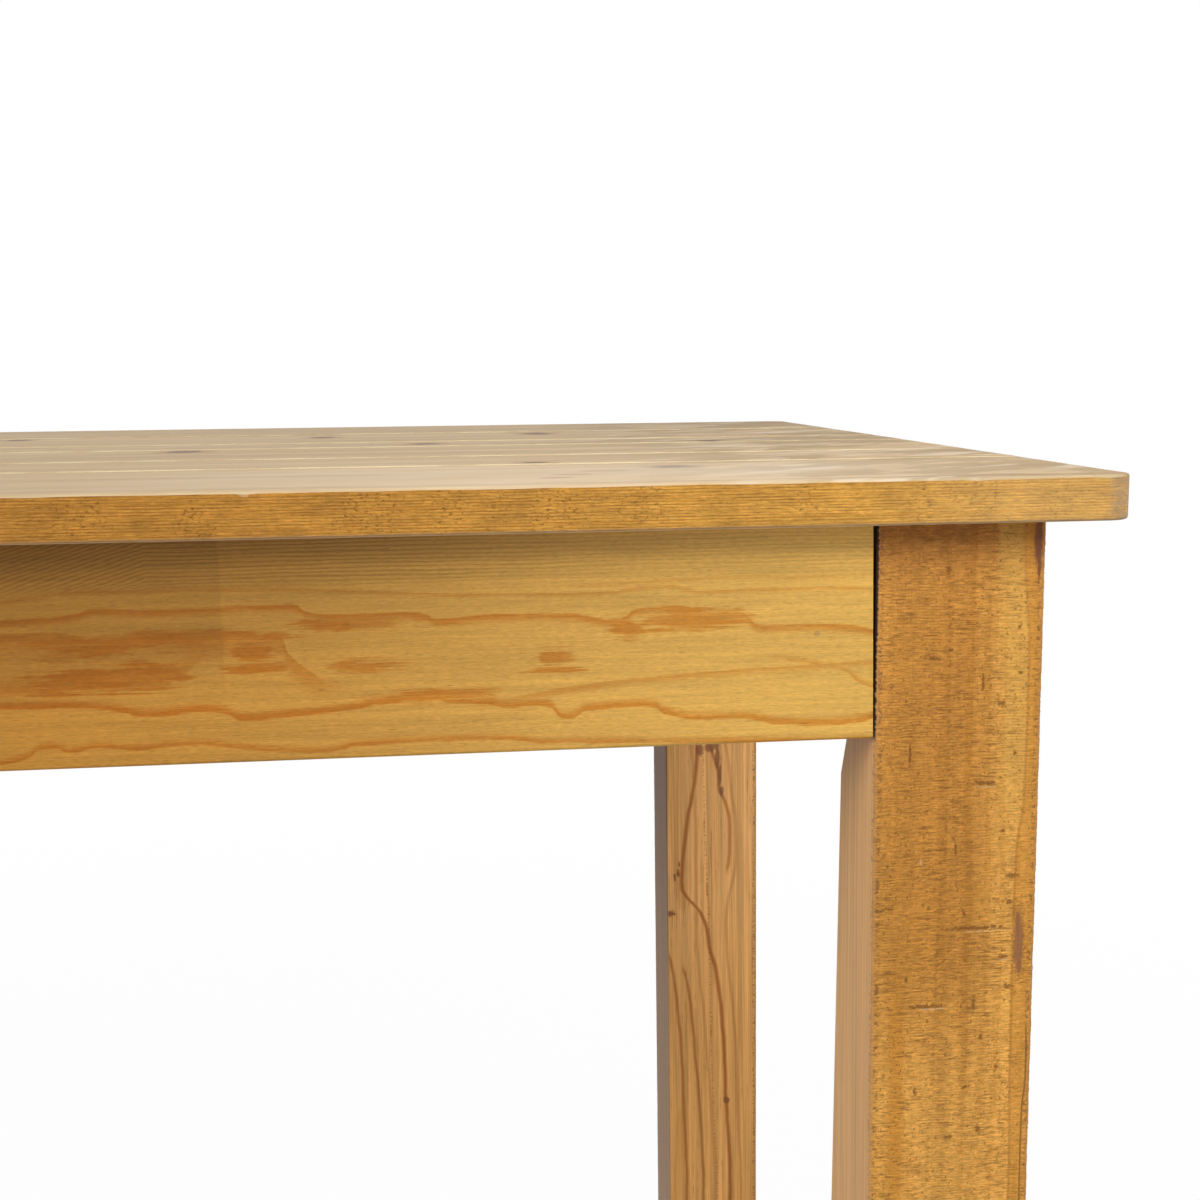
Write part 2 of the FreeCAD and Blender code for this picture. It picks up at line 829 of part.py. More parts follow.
def bracket_screws():
    template = screw_template("bracket_screw", size["bracket_thickness"] + size["screw_bite"])
    head_face = inner_y - size["bracket_thickness"]
    end_head_face = inner_x - size["bracket_thickness"]
    along_x = leg_centre_x - wing_screw_run
    along_y = leg_centre_y - wing_screw_run
    for corner, (side_x, side_y, turn) in CORNERS.items():
        into_long_apron = FreeCAD.Rotation(FreeCAD.Vector(0, 0, 1), FreeCAD.Vector(0, side_y, 0))
        into_end_apron = FreeCAD.Rotation(FreeCAD.Vector(0, 0, 1), FreeCAD.Vector(side_x, 0, 0))
        copies = []
        for number, drop in enumerate(wing_screw_drops, start=1):
            z = under_top - drop
            copies.append(copy_of(template, f"{corner}_long_screw_{number}", into_long_apron,
                                  along_x * side_x, head_face * side_y, z))
            copies.append(copy_of(template, f"{corner}_end_screw_{number}", into_end_apron,
                                  end_head_face * side_x, along_y * side_y, z))
        add_group(f"bracket_screws_{corner}", copies)


# Whole table

def build():
    for number in range(1, len(plank_widths) + 1):
        plank(number)
    dowels()
    for side, batten_x in batten_places.items():
        batten(side, batten_x)
    batten_screws()
    aprons()
    buttons()
    for corner in CORNERS:
        leg(corner)
        corner_bracket(corner)
    corner_fasteners()
    bracket_screws()
    foot_glides()
    doc.recompute()


def check_document():
    for thing in doc.Objects:
        if "Invalid" in thing.State or "Error" in thing.State:
            raise RuntimeError(f"{thing.Label} did not build: {thing.State}")
    for node in nodes:
        shape = node.Shape
        if shape.isNull() or not shape.isValid() or not shape.Solids:
            raise RuntimeError(f"{node.Label} has no valid solid")


def write_steps():
    os.makedirs("parts", exist_ok=True)
    for node in nodes:
        node.Shape.exportStep(f"parts/{node.Label}.step")


build()
check_document()
write_steps()
print(f"{len(nodes)} nodes, {sum(len(node.Shape.Solids) for node in nodes)} solids")
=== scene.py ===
import math

import bmesh
import bpy
from mathutils import Matrix, Vector, noise


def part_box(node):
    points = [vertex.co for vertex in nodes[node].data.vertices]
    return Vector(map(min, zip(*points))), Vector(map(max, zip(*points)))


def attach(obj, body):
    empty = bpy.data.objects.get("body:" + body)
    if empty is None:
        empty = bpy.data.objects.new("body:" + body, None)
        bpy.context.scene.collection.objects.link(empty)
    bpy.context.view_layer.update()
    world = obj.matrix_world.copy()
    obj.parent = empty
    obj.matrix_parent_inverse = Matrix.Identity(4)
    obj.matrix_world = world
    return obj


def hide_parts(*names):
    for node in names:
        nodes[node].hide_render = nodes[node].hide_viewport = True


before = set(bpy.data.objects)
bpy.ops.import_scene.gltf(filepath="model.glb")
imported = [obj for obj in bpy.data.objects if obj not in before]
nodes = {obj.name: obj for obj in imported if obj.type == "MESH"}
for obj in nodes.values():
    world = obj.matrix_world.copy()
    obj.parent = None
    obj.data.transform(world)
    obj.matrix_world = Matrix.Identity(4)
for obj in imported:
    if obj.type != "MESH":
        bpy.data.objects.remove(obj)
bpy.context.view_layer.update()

# Farmhouse table in metres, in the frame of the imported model: X along the table, front at minus Y, Z up.

MM = 0.001
CORNERS = ("front_left", "front_right", "rear_right", "rear_left")
PLANK_COUNT = 6


# Shader building

class Value:
    """Output of a shader node, from which further nodes are made."""

    def __init__(self, shading, socket):
        self.shading = shading
        self.socket = socket

    def __add__(self, other):
        return self.shading.math("ADD", self, other)

    def __radd__(self, other):
        return self.shading.math("ADD", other, self)

    def __sub__(self, other):
        return self.shading.math("SUBTRACT", self, other)

    def __rsub__(self, other):
        return self.shading.math("SUBTRACT", other, self)

    def __mul__(self, other):
        return self.shading.math("MULTIPLY", self, other)

    def __rmul__(self, other):
        return self.shading.math("MULTIPLY", other, self)

    def __truediv__(self, other):
        return self.shading.math("DIVIDE", self, other)

    def __abs__(self):
        return self.shading.math("ABSOLUTE", self)

    def fit(self, gain, base):
        """The value times a gain, plus a base."""
        return self.shading.math("MULTIPLY_ADD", self, gain, base)

    def parts(self):
        """The X, Y and Z of a place."""
        node = self.shading.add("ShaderNodeSeparateXYZ", {"Vector": self})
        return [self.shading.value(node, index) for index in range(3)]

    def rise(self, start, end):
        """0 at start, 1 at end, smooth in between. Start may be above end."""
        node = self.shading.add("ShaderNodeMapRange", {"Value": self, "From Min": start, "From Max": end},
                                interpolation_type="SMOOTHSTEP")
        return self.shading.value(node)

    def band(self, middle, half_width, softness):
        """1 within half_width of the middle, falling to 0 over the softness outside it."""
        return abs(self - middle).rise(half_width + softness, half_width)

    def noise(self, stretch, detail=2.0, roughness=0.5, output="Fac"):
        """Noise in a place; stretch is the noise's count per metre on each axis."""
        scaled = self.shading.vector("MULTIPLY", self, stretch)
        node = self.shading.add("ShaderNodeTexNoise", {
            "Vector": scaled, "Scale": 1.0, "Detail": detail, "Roughness": roughness})
        return self.shading.value(node, output)

    def patches(self, stretch, detail, roughness, start, end):
        """Noise cut into patches with soft edges: 0 below start, 1 above end."""
        return self.noise(stretch, detail, roughness).rise(start, end)

    def ripple(self, stretch, amount, detail=2.0):
        """Noise around zero that reaches about plus and minus half the amount."""
        return (self.noise(stretch, detail, 0.55) - 0.5) * amount

    def wave(self, pitch, shift):
        """Sine along a distance with one pitch, moved by a shift counted in waves."""
        return self.shading.math("SINE", (self / pitch + shift) * (2.0 * math.pi))

    def line(self, points):
        """Place of a drawn line at this distance along a board. The points are in millimetres."""
        runs = [run * MM for run, _ in points]
        places = [place * MM for _, place in points]
        low, high = min(places), max(places)
        length = runs[-1] - runs[0]
        share = self.shading.math("DIVIDE", self - runs[0], length, use_clamp=True)
        node = self.shading.add("ShaderNodeFloatCurve", {"Value": share})
        marks = node.mapping.curves[0].points
        while len(marks) < len(points):
            marks.new(1.0, 1.0)
        for mark, run, place in zip(marks, runs, places):
            mark.location = ((run - runs[0]) / length, (place - low) / (high - low))
        node.mapping.update()
        return self.shading.value(node).fit(high - low, low)

    def toned(self, value, gain, base):
        """The colour made lighter or darker by a value times a gain, plus a base."""
        return self.shading.shade(self, value.fit(gain, base))

    def cover(self, tint, mask, share):
        """A tint laid over the colour with a share of the mask's strength."""
        return self.shading.mix(mask * share, self, tint)


class Shading:
    """Adds nodes to one shader tree and links them."""

    def __init__(self, tree):
        self.tree = tree

    def put(self, socket, value):
        if isinstance(value, Value):
            self.tree.links.new(value.socket, socket)
        else:
            socket.default_value = value

    def add(self, kind, inputs=None, **settings):
        node = self.tree.nodes.new(kind)
        for name, value in settings.items():
            setattr(node, name, value)
        for name, value in (inputs or {}).items():
            self.put(node.inputs[name], value)
        return node

    def value(self, node, output=0):
        return Value(self, node.outputs[output])

    def values(self, node):
        """Outputs of a node by their names."""
        return {socket.name: Value(self, socket) for socket in node.outputs}

    def math(self, operation, *values, kind="ShaderNodeMath", **settings):
        node = self.add(kind, operation=operation, **settings)
        for socket, value in zip(node.inputs, values):
            self.put(socket, value)
        return self.value(node)

    def vector(self, operation, *values):
        return self.math(operation, *values, kind="ShaderNodeVectorMath")

    def largest(self, values):
        result = values[0]
        for value in values[1:]:
            result = self.math("MAXIMUM", result, value)
        return result

    def join(self, x, y, z):
        return self.value(self.add("ShaderNodeCombineXYZ", {"X": x, "Y": y, "Z": z}))

    def mix(self, factor, low, high, blend="MIX"):
        node = self.add("ShaderNodeMix", {0: factor, 6: low, 7: high}, data_type="RGBA", blend_type=blend)
        return self.value(node, 2)

    def shade(self, tint, level):
        """A colour made lighter or darker by a level around 1."""
        return self.mix(1.0, tint, self.join(level, level, level), "MULTIPLY")

    def group(self, tree, inputs):
        return self.values(self.add("ShaderNodeGroup", inputs, node_tree=tree))


FLOAT = "NodeSocketFloat"
VECTOR = "NodeSocketVector"


def new_group(name, inputs, outputs):
    tree = bpy.data.node_groups.new(name, "ShaderNodeTree")
    for label, kind in inputs:
        tree.interface.new_socket(label, in_out="INPUT", socket_type=kind)
    for label, kind in outputs:
        tree.interface.new_socket(label, in_out="OUTPUT", socket_type=kind)
    shading = Shading(tree)
    entry = shading.values(shading.add("NodeGroupInput"))
    leave = shading.add("NodeGroupOutput").inputs
    return tree, shading, entry, leave


def colour(red, green, blue):
    return (red, green, blue, 1.0)


# Growth rings of a pine board. Place is along, across and through the board, in metres.

def pine_rings_group():
    tree, shading, entry, leave = new_group(
        "pine_rings",
        [("Place", VECTOR), ("Pith Across", FLOAT), ("Pith Depth", FLOAT), ("Ring Spacing", FLOAT),
         ("Wander", FLOAT)],
        [("Late Wood", FLOAT), ("Ring Tone", FLOAT)])
    place = entry["Place"]
    _, across, depth = place.parts()
    slow = place.noise((3.0, 9.0, 9.0), 1.5, 0.45, "Color")
    sway_across, sway_depth, _ = shading.vector("SUBTRACT", slow, (0.5, 0.5, 0.5)).parts()
    from_across = across - entry["Pith Across"] + sway_across * entry["Wander"]
    from_depth = depth - entry["Pith Depth"] + sway_depth * entry["Wander"]
    radius = shading.math("SQRT", from_across * from_across + from_depth * from_depth)
    ragged = place.ripple((16.0, 240.0, 240.0), 0.5, 3.0)
    count = radius / entry["Ring Spacing"] + ragged
    phase = shading.math("FRACT", count)
    late = phase.rise(0.35, 0.93) * phase.rise(1.0, 0.95)
    tone = shading.add("ShaderNodeTexWhiteNoise", {"W": shading.math("FLOOR", count)},
                       noise_dimensions="1D")
    shading.put(leave["Late Wood"], late)
    shading.put(leave["Ring Tone"], shading.value(tone))
    return tree


# Fibres of planed wood: fine streaks, and short dark pores.

def wood_fibre_group():
    tree, shading, entry, leave = new_group(
        "wood_fibre", [("Place", VECTOR)], [("Streak", FLOAT), ("Pore", FLOAT)])
    place = entry["Place"]
    broad = place.noise((7.0, 260.0, 260.0), 3.0, 0.6)
    fine = place.noise((40.0, 1500.0, 1500.0), 2.0, 0.6)
    pores = place.noise((160.0, 2300.0, 2300.0), 1.0, 0.5)
    shading.put(leave["Streak"], broad * 0.55 + fine * 0.45)
    shading.put(leave["Pore"], pores.rise(0.64, 0.78))
    return tree


# A spot with ragged edges, at a place on a face given by two distances.

def spot_group():
    tree, shading, entry, leave = new_group(
        "spot",
        [("Across", FLOAT), ("Up", FLOAT), ("Middle Across", FLOAT), ("Middle Up", FLOAT),
         ("Half Width", FLOAT), ("Half Height", FLOAT), ("Ragged", FLOAT)],
        [("Spot", FLOAT)])
    across = (entry["Across"] - entry["Middle Across"]) / entry["Half Width"]
    up = (entry["Up"] - entry["Middle Up"]) / entry["Half Height"]
    away = shading.math("SQRT", across * across + up * up)
    shading.put(leave["Spot"], (away + entry["Ragged"]).rise(1.2, 0.6))
    return tree


# Saw marks and dirt of a rough-sawn face. Place is along the grain, then the two other axes.

def rough_sawn_group():
    tree, shading, entry, leave = new_group(
        "rough_sawn", [("Place", VECTOR)],
        [("Comb", FLOAT), ("Dash", FLOAT), ("Speck", FLOAT), ("Nap", FLOAT)])
    place = entry["Place"]
    along, _, _ = place.parts()
    sag = place.ripple((16.0, 30.0, 30.0), 2.0, 2.0)
    sag += place.ripple((170.0, 110.0, 110.0), 0.8, 3.0)
    teeth = along.wave(1.4 * MM, sag)
    comb_zones = place.patches((30.0, 70.0, 70.0), 4.0, 0.65, 0.34, 0.62)
    dashes = place.noise((1050.0, 120.0, 120.0), 4.0, 0.72)
    dash_zones = place.patches((34.0, 60.0, 60.0), 3.0, 0.6, 0.30, 0.60)
    specks = place.patches((720.0, 640.0, 640.0), 2.0, 0.55, 0.60, 0.69)
    clumps = place.patches((190.0, 280.0, 280.0), 5.0, 0.72, 0.60, 0.72)
    shading.put(leave["Comb"], teeth.rise(0.2, 0.95) * comb_zones)
    shading.put(leave["Dash"], dashes.rise(0.49, 0.66) * dash_zones.fit(0.75, 0.25))
    shading.put(leave["Speck"], shading.math("MAXIMUM", specks, clumps))
    shading.put(leave["Nap"], place.noise((420.0, 260.0, 260.0), 6.0, 0.8))
    return tree


PINE_RINGS = pine_rings_group()
WOOD_FIBRE = wood_fibre_group()
SPOT = spot_group()
ROUGH_SAWN = rough_sawn_group()

AXES = {"X": (0, 1, 2), "Y": (1, 0, 2), "Z": (2, 0, 1)}


def position_of(shading):
    return shading.values(shading.add("ShaderNodeTexCoord"))["Object"]


def board_place(shading, position, grain_axis, shift):
    """Place in a board: along its grain, then the other axes, moved by a shift that sets boards apart."""
    parts = position.parts()
    ordered = [parts[index] for index in AXES[grain_axis]]
    return shading.vector("ADD", shading.join(*ordered), (shift, 0.0, 0.0))


def new_material(name):
    material = bpy.data.materials.new(name)
    material.use_nodes = True
    tree = material.node_tree
    tree.nodes.clear()
    shading = Shading(tree)
    surface = shading.add("ShaderNodeBsdfPrincipled")
    output = shading.add("ShaderNodeOutputMaterial")
    tree.links.new(surface.outputs[0], output.inputs[0])
    return material, shading, surface


def spots(across, up, ragged, places):
    """Mask of spots, each given in millimetres: middle across, middle up, half width and half height."""
    masks = []
    for middle_across, middle_up, half_width, half_height in places:
        masks.append(across.shading.group(SPOT, {
            "Across": across, "Up": up, "Middle Across": middle_across * MM, "Middle Up": middle_up * MM,
            "Half Width": half_width * MM, "Half Height": half_height * MM, "Ragged": ragged})["Spot"])
    return across.shading.largest(masks)


def ring_edge(height, edge, fade, sharp_side):
    """Late wood that starts sharply at an edge and fades away on one side of it."""
    inside = edge - height if sharp_side == "upper" else height - edge
    start = inside.rise(-0.5 * MM, 0.7 * MM)
    return start * inside.rise(1.7 * fade * MM, 0.0)


def within_run(along, points, softness, whole):
    """1 along the run of a drawn line, fading at its ends unless they are the ends of the whole board."""
    begin, end = points[0][0], points[-1][0]
    mask = 1.0
    if begin > whole[0]:
        mask = along.rise((begin - softness) * MM, (begin + softness) * MM)
    if end < whole[1]:
        mask *= along.rise((end + softness) * MM, (end - softness) * MM)
    return mask


def give_finish(shading, surface, tint, roughness, specular=0.5):
    shading.put(surface.inputs["Base Color"], tint)
    shading.put(surface.inputs["Roughness"], roughness)
    surface.inputs["Specular IOR Level"].default_value = specular


def give_bump(shading, surface, height, strength, distance):
    bump = shading.add("ShaderNodeBump", {"Strength": strength, "Distance": distance, "Height": height})
    shading.put(surface.inputs["Normal"], shading.value(bump))


def dress(node, material):
    mesh = nodes[node].data
    mesh.materials.clear()
    mesh.materials.append(material)


# Pine colours: pale early wood and orange late wood of each finish, then the marks, painted highlight and
# sheen, and painted shade

HONEY = colour(0.70, 0.405, 0.085)
AMBER = colour(0.57, 0.225, 0.022)
TOP_PALE = colour(0.66, 0.47, 0.255)
TOP_LATE = colour(0.53, 0.335, 0.150)
TOP_VEIN = colour(0.40, 0.245, 0.115)
KNOT_RIM = colour(0.40, 0.215, 0.080)
EDGE_HONEY = colour(0.67, 0.365, 0.070)
EDGE_AMBER = colour(0.55, 0.225, 0.022)
SAWN = colour(0.60, 0.300, 0.064)
SAWN_LATE = colour(0.50, 0.205, 0.025)
SAWN_DARK = colour(0.33, 0.135, 0.025)
TAN = colour(0.62, 0.338, 0.117)
TAN_LATE = colour(0.47, 0.215, 0.055)
RUSSET = colour(0.30, 0.10, 0.025)
BARK = colour(0.20, 0.075, 0.035)
SCAR = colour(0.31, 0.135, 0.055)
DIRT = colour(0.17, 0.065, 0.014)
GAP_SHADOW = colour(0.025, 0.012, 0.006)
CHIP = colour(0.80, 0.62, 0.38)
HIGHLIGHT_CREAM = colour(0.88, 0.73, 0.45)
KNOT = colour(0.20, 0.12, 0.08)
WAX_HAZE_AND_SHEEN = colour(0.86, 0.74, 0.60)
END_GRAIN = colour(0.34, 0.23, 0.14)
PALER_END = colour(0.62, 0.40, 0.17)
LOWER_ARRIS_SHEEN = colour(0.42, 0.28, 0.17)
RUBBED_ARRIS = colour(0.46, 0.24, 0.10)
BEAD = colour(0.22, 0.09, 0.035)
LEFT_FACE_SHADOW = colour(0.24, 0.130, 0.066)
LEFT_FACE_SHADE_LOW = colour(0.50, 0.305, 0.165)

# Tints that wood is multiplied by: painted shade on the aprons and top edges, weather, painted shadow under
# the top, and painted light on the rear right leg

APRON_PAINTED_SHADE = colour(0.72, 0.57, 0.42)
EDGE_PAINTED_SHADE = colour(0.76, 0.66, 0.56)
WEATHERED = colour(0.78, 0.68, 0.56)
SHADOW_UNDER_TOP = colour(0.60, 0.50, 0.50)
PAINTED_LIGHT_FOOT = colour(1.28, 1.22, 1.14)
PAINTED_LIGHT_HEAD = colour(1.50, 1.50, 1.60)

# Hidden wood, metal and plastic: early and late wood, bright and dull metal, plain and scuffed plastic

BARE_PINE = (colour(0.66, 0.47, 0.24), colour(0.52, 0.30, 0.11))
BEECH = (colour(0.60, 0.40, 0.22), colour(0.50, 0.30, 0.15))
ZINC = (colour(0.66, 0.68, 0.70), colour(0.48, 0.50, 0.52))
YELLOW_ZINC = (colour(0.72, 0.60, 0.34), colour(0.52, 0.44, 0.30))
BROWN_PLASTIC = (colour(0.045, 0.027, 0.015), colour(0.12, 0.09, 0.07))


def plain_pine(shading, place, pith, spacing, wander, early, late, late_share):
    """Colour and relief of a board from its growth rings and fibres."""
    rings = shading.group(PINE_RINGS, {
        "Place": place, "Pith Across": pith[0], "Pith Depth": pith[1], "Ring Spacing": spacing,
        "Wander": wander})
    fibre = shading.group(WOOD_FIBRE, {"Place": place})
    tone = rings["Ring Tone"].fit(0.6, 0.4)
    share = rings["Late Wood"] * tone * late_share
    wood = shading.mix(share, early, late)
    wood = wood.toned(fibre["Streak"], 0.5, 0.75)
    wood = wood.toned(fibre["Pore"], -0.15, 1.0)
    return wood, rings["Late Wood"].fit(0.3, fibre["Streak"])


# Long aprons. The figure is drawn for the front apron's right half, in millimetres along X and up Z.

# Each ring line: its sharp side, the reach of its fade, its strength and its points
RING_LINES = [
    ("upper", 1.6, 0.45,
     [(390, 724), (412, 726), (426, 727.5), (500, 727), (550, 724.3), (600, 722), (650, 721.3),
      (682, 723.6), (700, 720.6), (740, 721), (780, 719)]),
    ("upper", 1.5, 0.3, [(640, 725), (690, 726.2), (720, 727), (745, 726), (780, 727)]),
    ("upper", 3.0, 0.8,
     [(390, 715.5), (425, 717.5), (433, 719.6), (450, 718.5), (515, 719.2), (523, 716), (540, 714),
      (560, 714.4), (576, 713), (581, 711), (600, 712.2), (640, 711.4), (660, 708.5), (669, 713),
      (687, 713.8), (700, 711), (717, 710.3), (727, 704), (745, 704), (762, 703), (780, 700)]),
    ("upper", 9.0, 0.55,
     [(390, 709.5), (420, 709), (431, 706.5), (450, 709), (463, 709), (475, 706), (500, 707), (511, 705.5),
      (514, 698), (530, 685)]),
    ("lower", 8.0, 0.5, [(390, 682), (420, 683.5), (440, 684), (455, 683), (466, 688), (480, 700)]),
    ("upper", 2.6, 0.5,
     [(600, 672), (640, 678.5), (665, 681), (690, 682.5), (720, 684), (745, 685), (780, 686.5)]),
    ("lower", 2.4, 0.5, [(735, 688), (752, 684.5), (766, 681), (771, 677), (780, 672.5)]),
    ("lower", 3.2, 0.9,
     [(390, 676.5), (425, 675.5), (440, 674), (455, 671), (475, 672.3), (486, 671), (496, 668),
      (507, 668.4), (540, 671), (553, 673), (576, 674.3), (584, 672.5), (604, 671), (609, 669.6),
      (625, 670), (633, 665), (637, 663.5), (646, 667), (672, 668), (681, 664.7), (697, 661), (720, 660),
      (736, 657), (756, 656.4), (780, 659)]),
    ("lower", 2.6, 0.7,
     [(390, 651.5), (402, 655), (411, 658.6), (419, 656.4), (431, 658), (447, 656.4), (465, 657.5),
      (490, 655.5), (512, 653), (528, 652.5), (545, 655), (602, 655.4), (627, 652.5), (655, 652),
      (690, 650.2), (780, 648)]),
]
RING_BLOTCHES = [(541, 710, 24, 3.6), (664, 704.5, 9, 4.5), (694, 707.5, 30, 5), (432, 703, 30, 5.5),
                 (500, 699, 10, 7), (430, 688, 30, 7), (470, 706, 40, 3.5), (503, 691.5, 16, 2.6),
                 (545, 690.5, 20, 3.2), (633, 692.5, 9, 4), (580, 676.8, 27, 3.8), (452, 690, 18, 6),
                 (633, 686, 14, 1.2)]
APRON_MIDDLE = 0.39
REAR_FOLD = 0.17
APRON_RUN = (390, 780)
GREY_SPOT = [(752.5, 699.3, 1.6, 1.5)]
SLANT_END = 0.455
SLANT = 0.33
LAP_EDGE = 0.4865


def long_apron_material(name, fold_start, lap):
    material, shading, surface = new_material(name)
    position = position_of(shading)
    x, y, z = position.parts()
    folded = shading.math("PINGPONG", x - fold_start, APRON_MIDDLE) + APRON_MIDDLE
    place = shading.join(x, y * 0.2, z)

    outside = x.rise(APRON_MIDDLE, APRON_MIDDLE - 0.1)
    drift = outside * place.ripple((2.6, 0.0, 0.0), 0.03)
    feather = place.ripple((45.0, 0.0, 900.0), 3.0 * MM, 4.0)
    feather += place.ripple((12.0, 0.0, 60.0), 1.8 * MM, 3.0)
    height = z + drift + feather

    masks = []
    for sharp_side, fade, strength, points in RING_LINES:
        edge = folded.line(points)
        shown = within_run(folded, points, 14, APRON_RUN) * strength
        masks.append(ring_edge(height, edge, fade, sharp_side) * shown)
    late = shading.largest(masks)
    ragged = place.ripple((50.0, 0.0, 260.0), 2.2, 4.0)
    ragged += place.ripple((18.0, 0.0, 1000.0), 2.0, 3.0)
    blotch = spots(folded, height, ragged, RING_BLOTCHES) * 0.68
    tone = place.noise((30.0, 0.0, 140.0), 4.0, 0.65).fit(1.4, 0.55)
    threads = place.noise((32.0, 0.0, 1200.0), 3.0, 0.65).fit(2.0, 0.10)
    late = shading.math("MAXIMUM", late, blotch) * (tone * threads)

    # Fine close rings near the upper edge, which run aslant at the left
    slant = shading.math("MAXIMUM", SLANT_END - folded, 0.0) * SLANT
    close_rings = (z + slant).wave(1.8 * MM, place.ripple((14.0, 0.0, 120.0), 1.8, 4.0))
    close_share = close_rings.rise(-0.2, 0.9) * height.rise(0.723, 0.733)
    close_share *= folded.rise(0.50, 0.70).fit(-0.55, 1.0)

    wood = shading.mix(late, HONEY, AMBER)
    wood = wood.cover(SAWN_DARK, close_share, 0.52)
    fibre = shading.group(WOOD_FIBRE, {"Place": place})
    wood = wood.toned(fibre["Streak"], 0.95, 0.53)
    wood = wood.toned(fibre["Pore"], -0.35, 1.0)
    nap = place.noise((260.0, 0.0, 1500.0), 3.0, 0.7)
    wood = wood.toned(nap, 0.8, 0.6)
    mottle = place.noise((8.0, 0.0, 24.0), 4.0, 0.65)
    wood = wood.toned(mottle, 0.4, 0.8)
    grey_spot = spots(folded, z, 0.0, GREY_SPOT)
    wood = wood.cover(KNOT, grey_spot, 0.4)
    if lap:
        # Painted shade: the front apron is darker towards the left, where less light falls
        leftward_shade = x.rise(0.80, 0.36)
        wood = shading.mix(leftward_shade, wood, APRON_PAINTED_SHADE, "MULTIPLY")
        # Painted shadow under the overhang of the top, deeper towards the left
        overhang_shadow = z.rise(0.665, 0.74) * x.rise(0.86, 0.46)
        wood = wood.toned(overhang_shadow, -0.34, 1.0)
        edge = LAP_EDGE + place.ripple((0.0, 0.0, 120.0), 2.0 * MM)
        lapped = x.rise(edge + 0.7 * MM, edge - 0.7 * MM) * z.rise(0.672, 0.702)
        wood = wood.toned(lapped, -0.13, 1.0)
    give_finish(shading, surface, wood, fibre["Streak"].fit(0.2, 0.36), 0.2)
    give_bump(shading, surface, late.fit(-0.3, fibre["Streak"]), 0.25, 0.3 * MM)
    return material


def end_apron_material(name, shift):
    material, shading, surface = new_material(name)
    place = board_place(shading, position_of(shading), "Y", shift)
    wood, relief = plain_pine(shading, place, (0.0, 0.70), 3.2 * MM, 0.03, HONEY, AMBER, 0.8)
    give_finish(shading, surface, wood, 0.45)
    give_bump(shading, surface, relief, 0.25, 0.3 * MM)
    return material


# Top planks. Knots and streaks are in millimetres along X and Y, marks of the front edge along X and up Z.

KNOTS = [(665, 185, 11, 18), (580, 30, 11, 14), (429, -25, 12, 16), (768, 0, 9, 18), (636, -225, 8, 9),
         (703, -277, 11, 10), (505, 170, 10, 14), (280, 205, 10, 14), (-152, -305, 8, 9),
         (-420, 118, 10, 12), (-702, 312, 9, 11), (62, -188, 7, 8), (-560, -62, 8, 10), (-252, 262, 7, 9),
         (140, 36, 8, 10)]
STREAKS = [(665, -301, 15, 5), (648, -326, 11, 5), (637, -349, 10, 5), (485, -301, 90, 3),
           (-330, -150, 60, 3), (-610, 180, 80, 3), (120, 330, 70, 3), (-480, -70, 60, 3), (210, 40, 70, 3)]
PLANK_TONES = (1.0, 0.90, 0.91, 0.91, 0.99, 0.97)
EDGE_DIRT = [(826, 769.0, 7, 0.8), (886, 769.0, 5, 0.8), (603, 751.2, 1.3, 1.2)]
EDGE_TORN = [(552, 760, 16, 13), (585, 759, 9, 12), (608, 762, 6, 9), (632, 758, 17, 12),
             (669, 761, 13, 10), (745, 762, 6, 9), (798, 760, 6, 12), (823, 762, 13, 11), (864, 760, 9, 10),
             (893, 760, 7, 12), (430, 759, 14, 11), (478, 757, 10, 10)]
EDGE_CHIPS = [(500, 768.4, 3.2, 0.9)]


def plank_grain(shading, position, number, early, late):
    """Colour and relief of a plank, and the place in it."""
    low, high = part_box(f"top_plank_{number}")
    place = board_place(shading, position, "X", number * 3.7)
    pith = (low.y + (high.y - low.y) * (0.08 if number == 1 else 0.5), high.z - 60.0 * MM)
    spacing = 1.7 * MM if number == 1 else 2.8 * MM
    wood, relief = plain_pine(shading, place, pith, spacing, 0.02, early, late, 0.75)
    return wood, relief, place


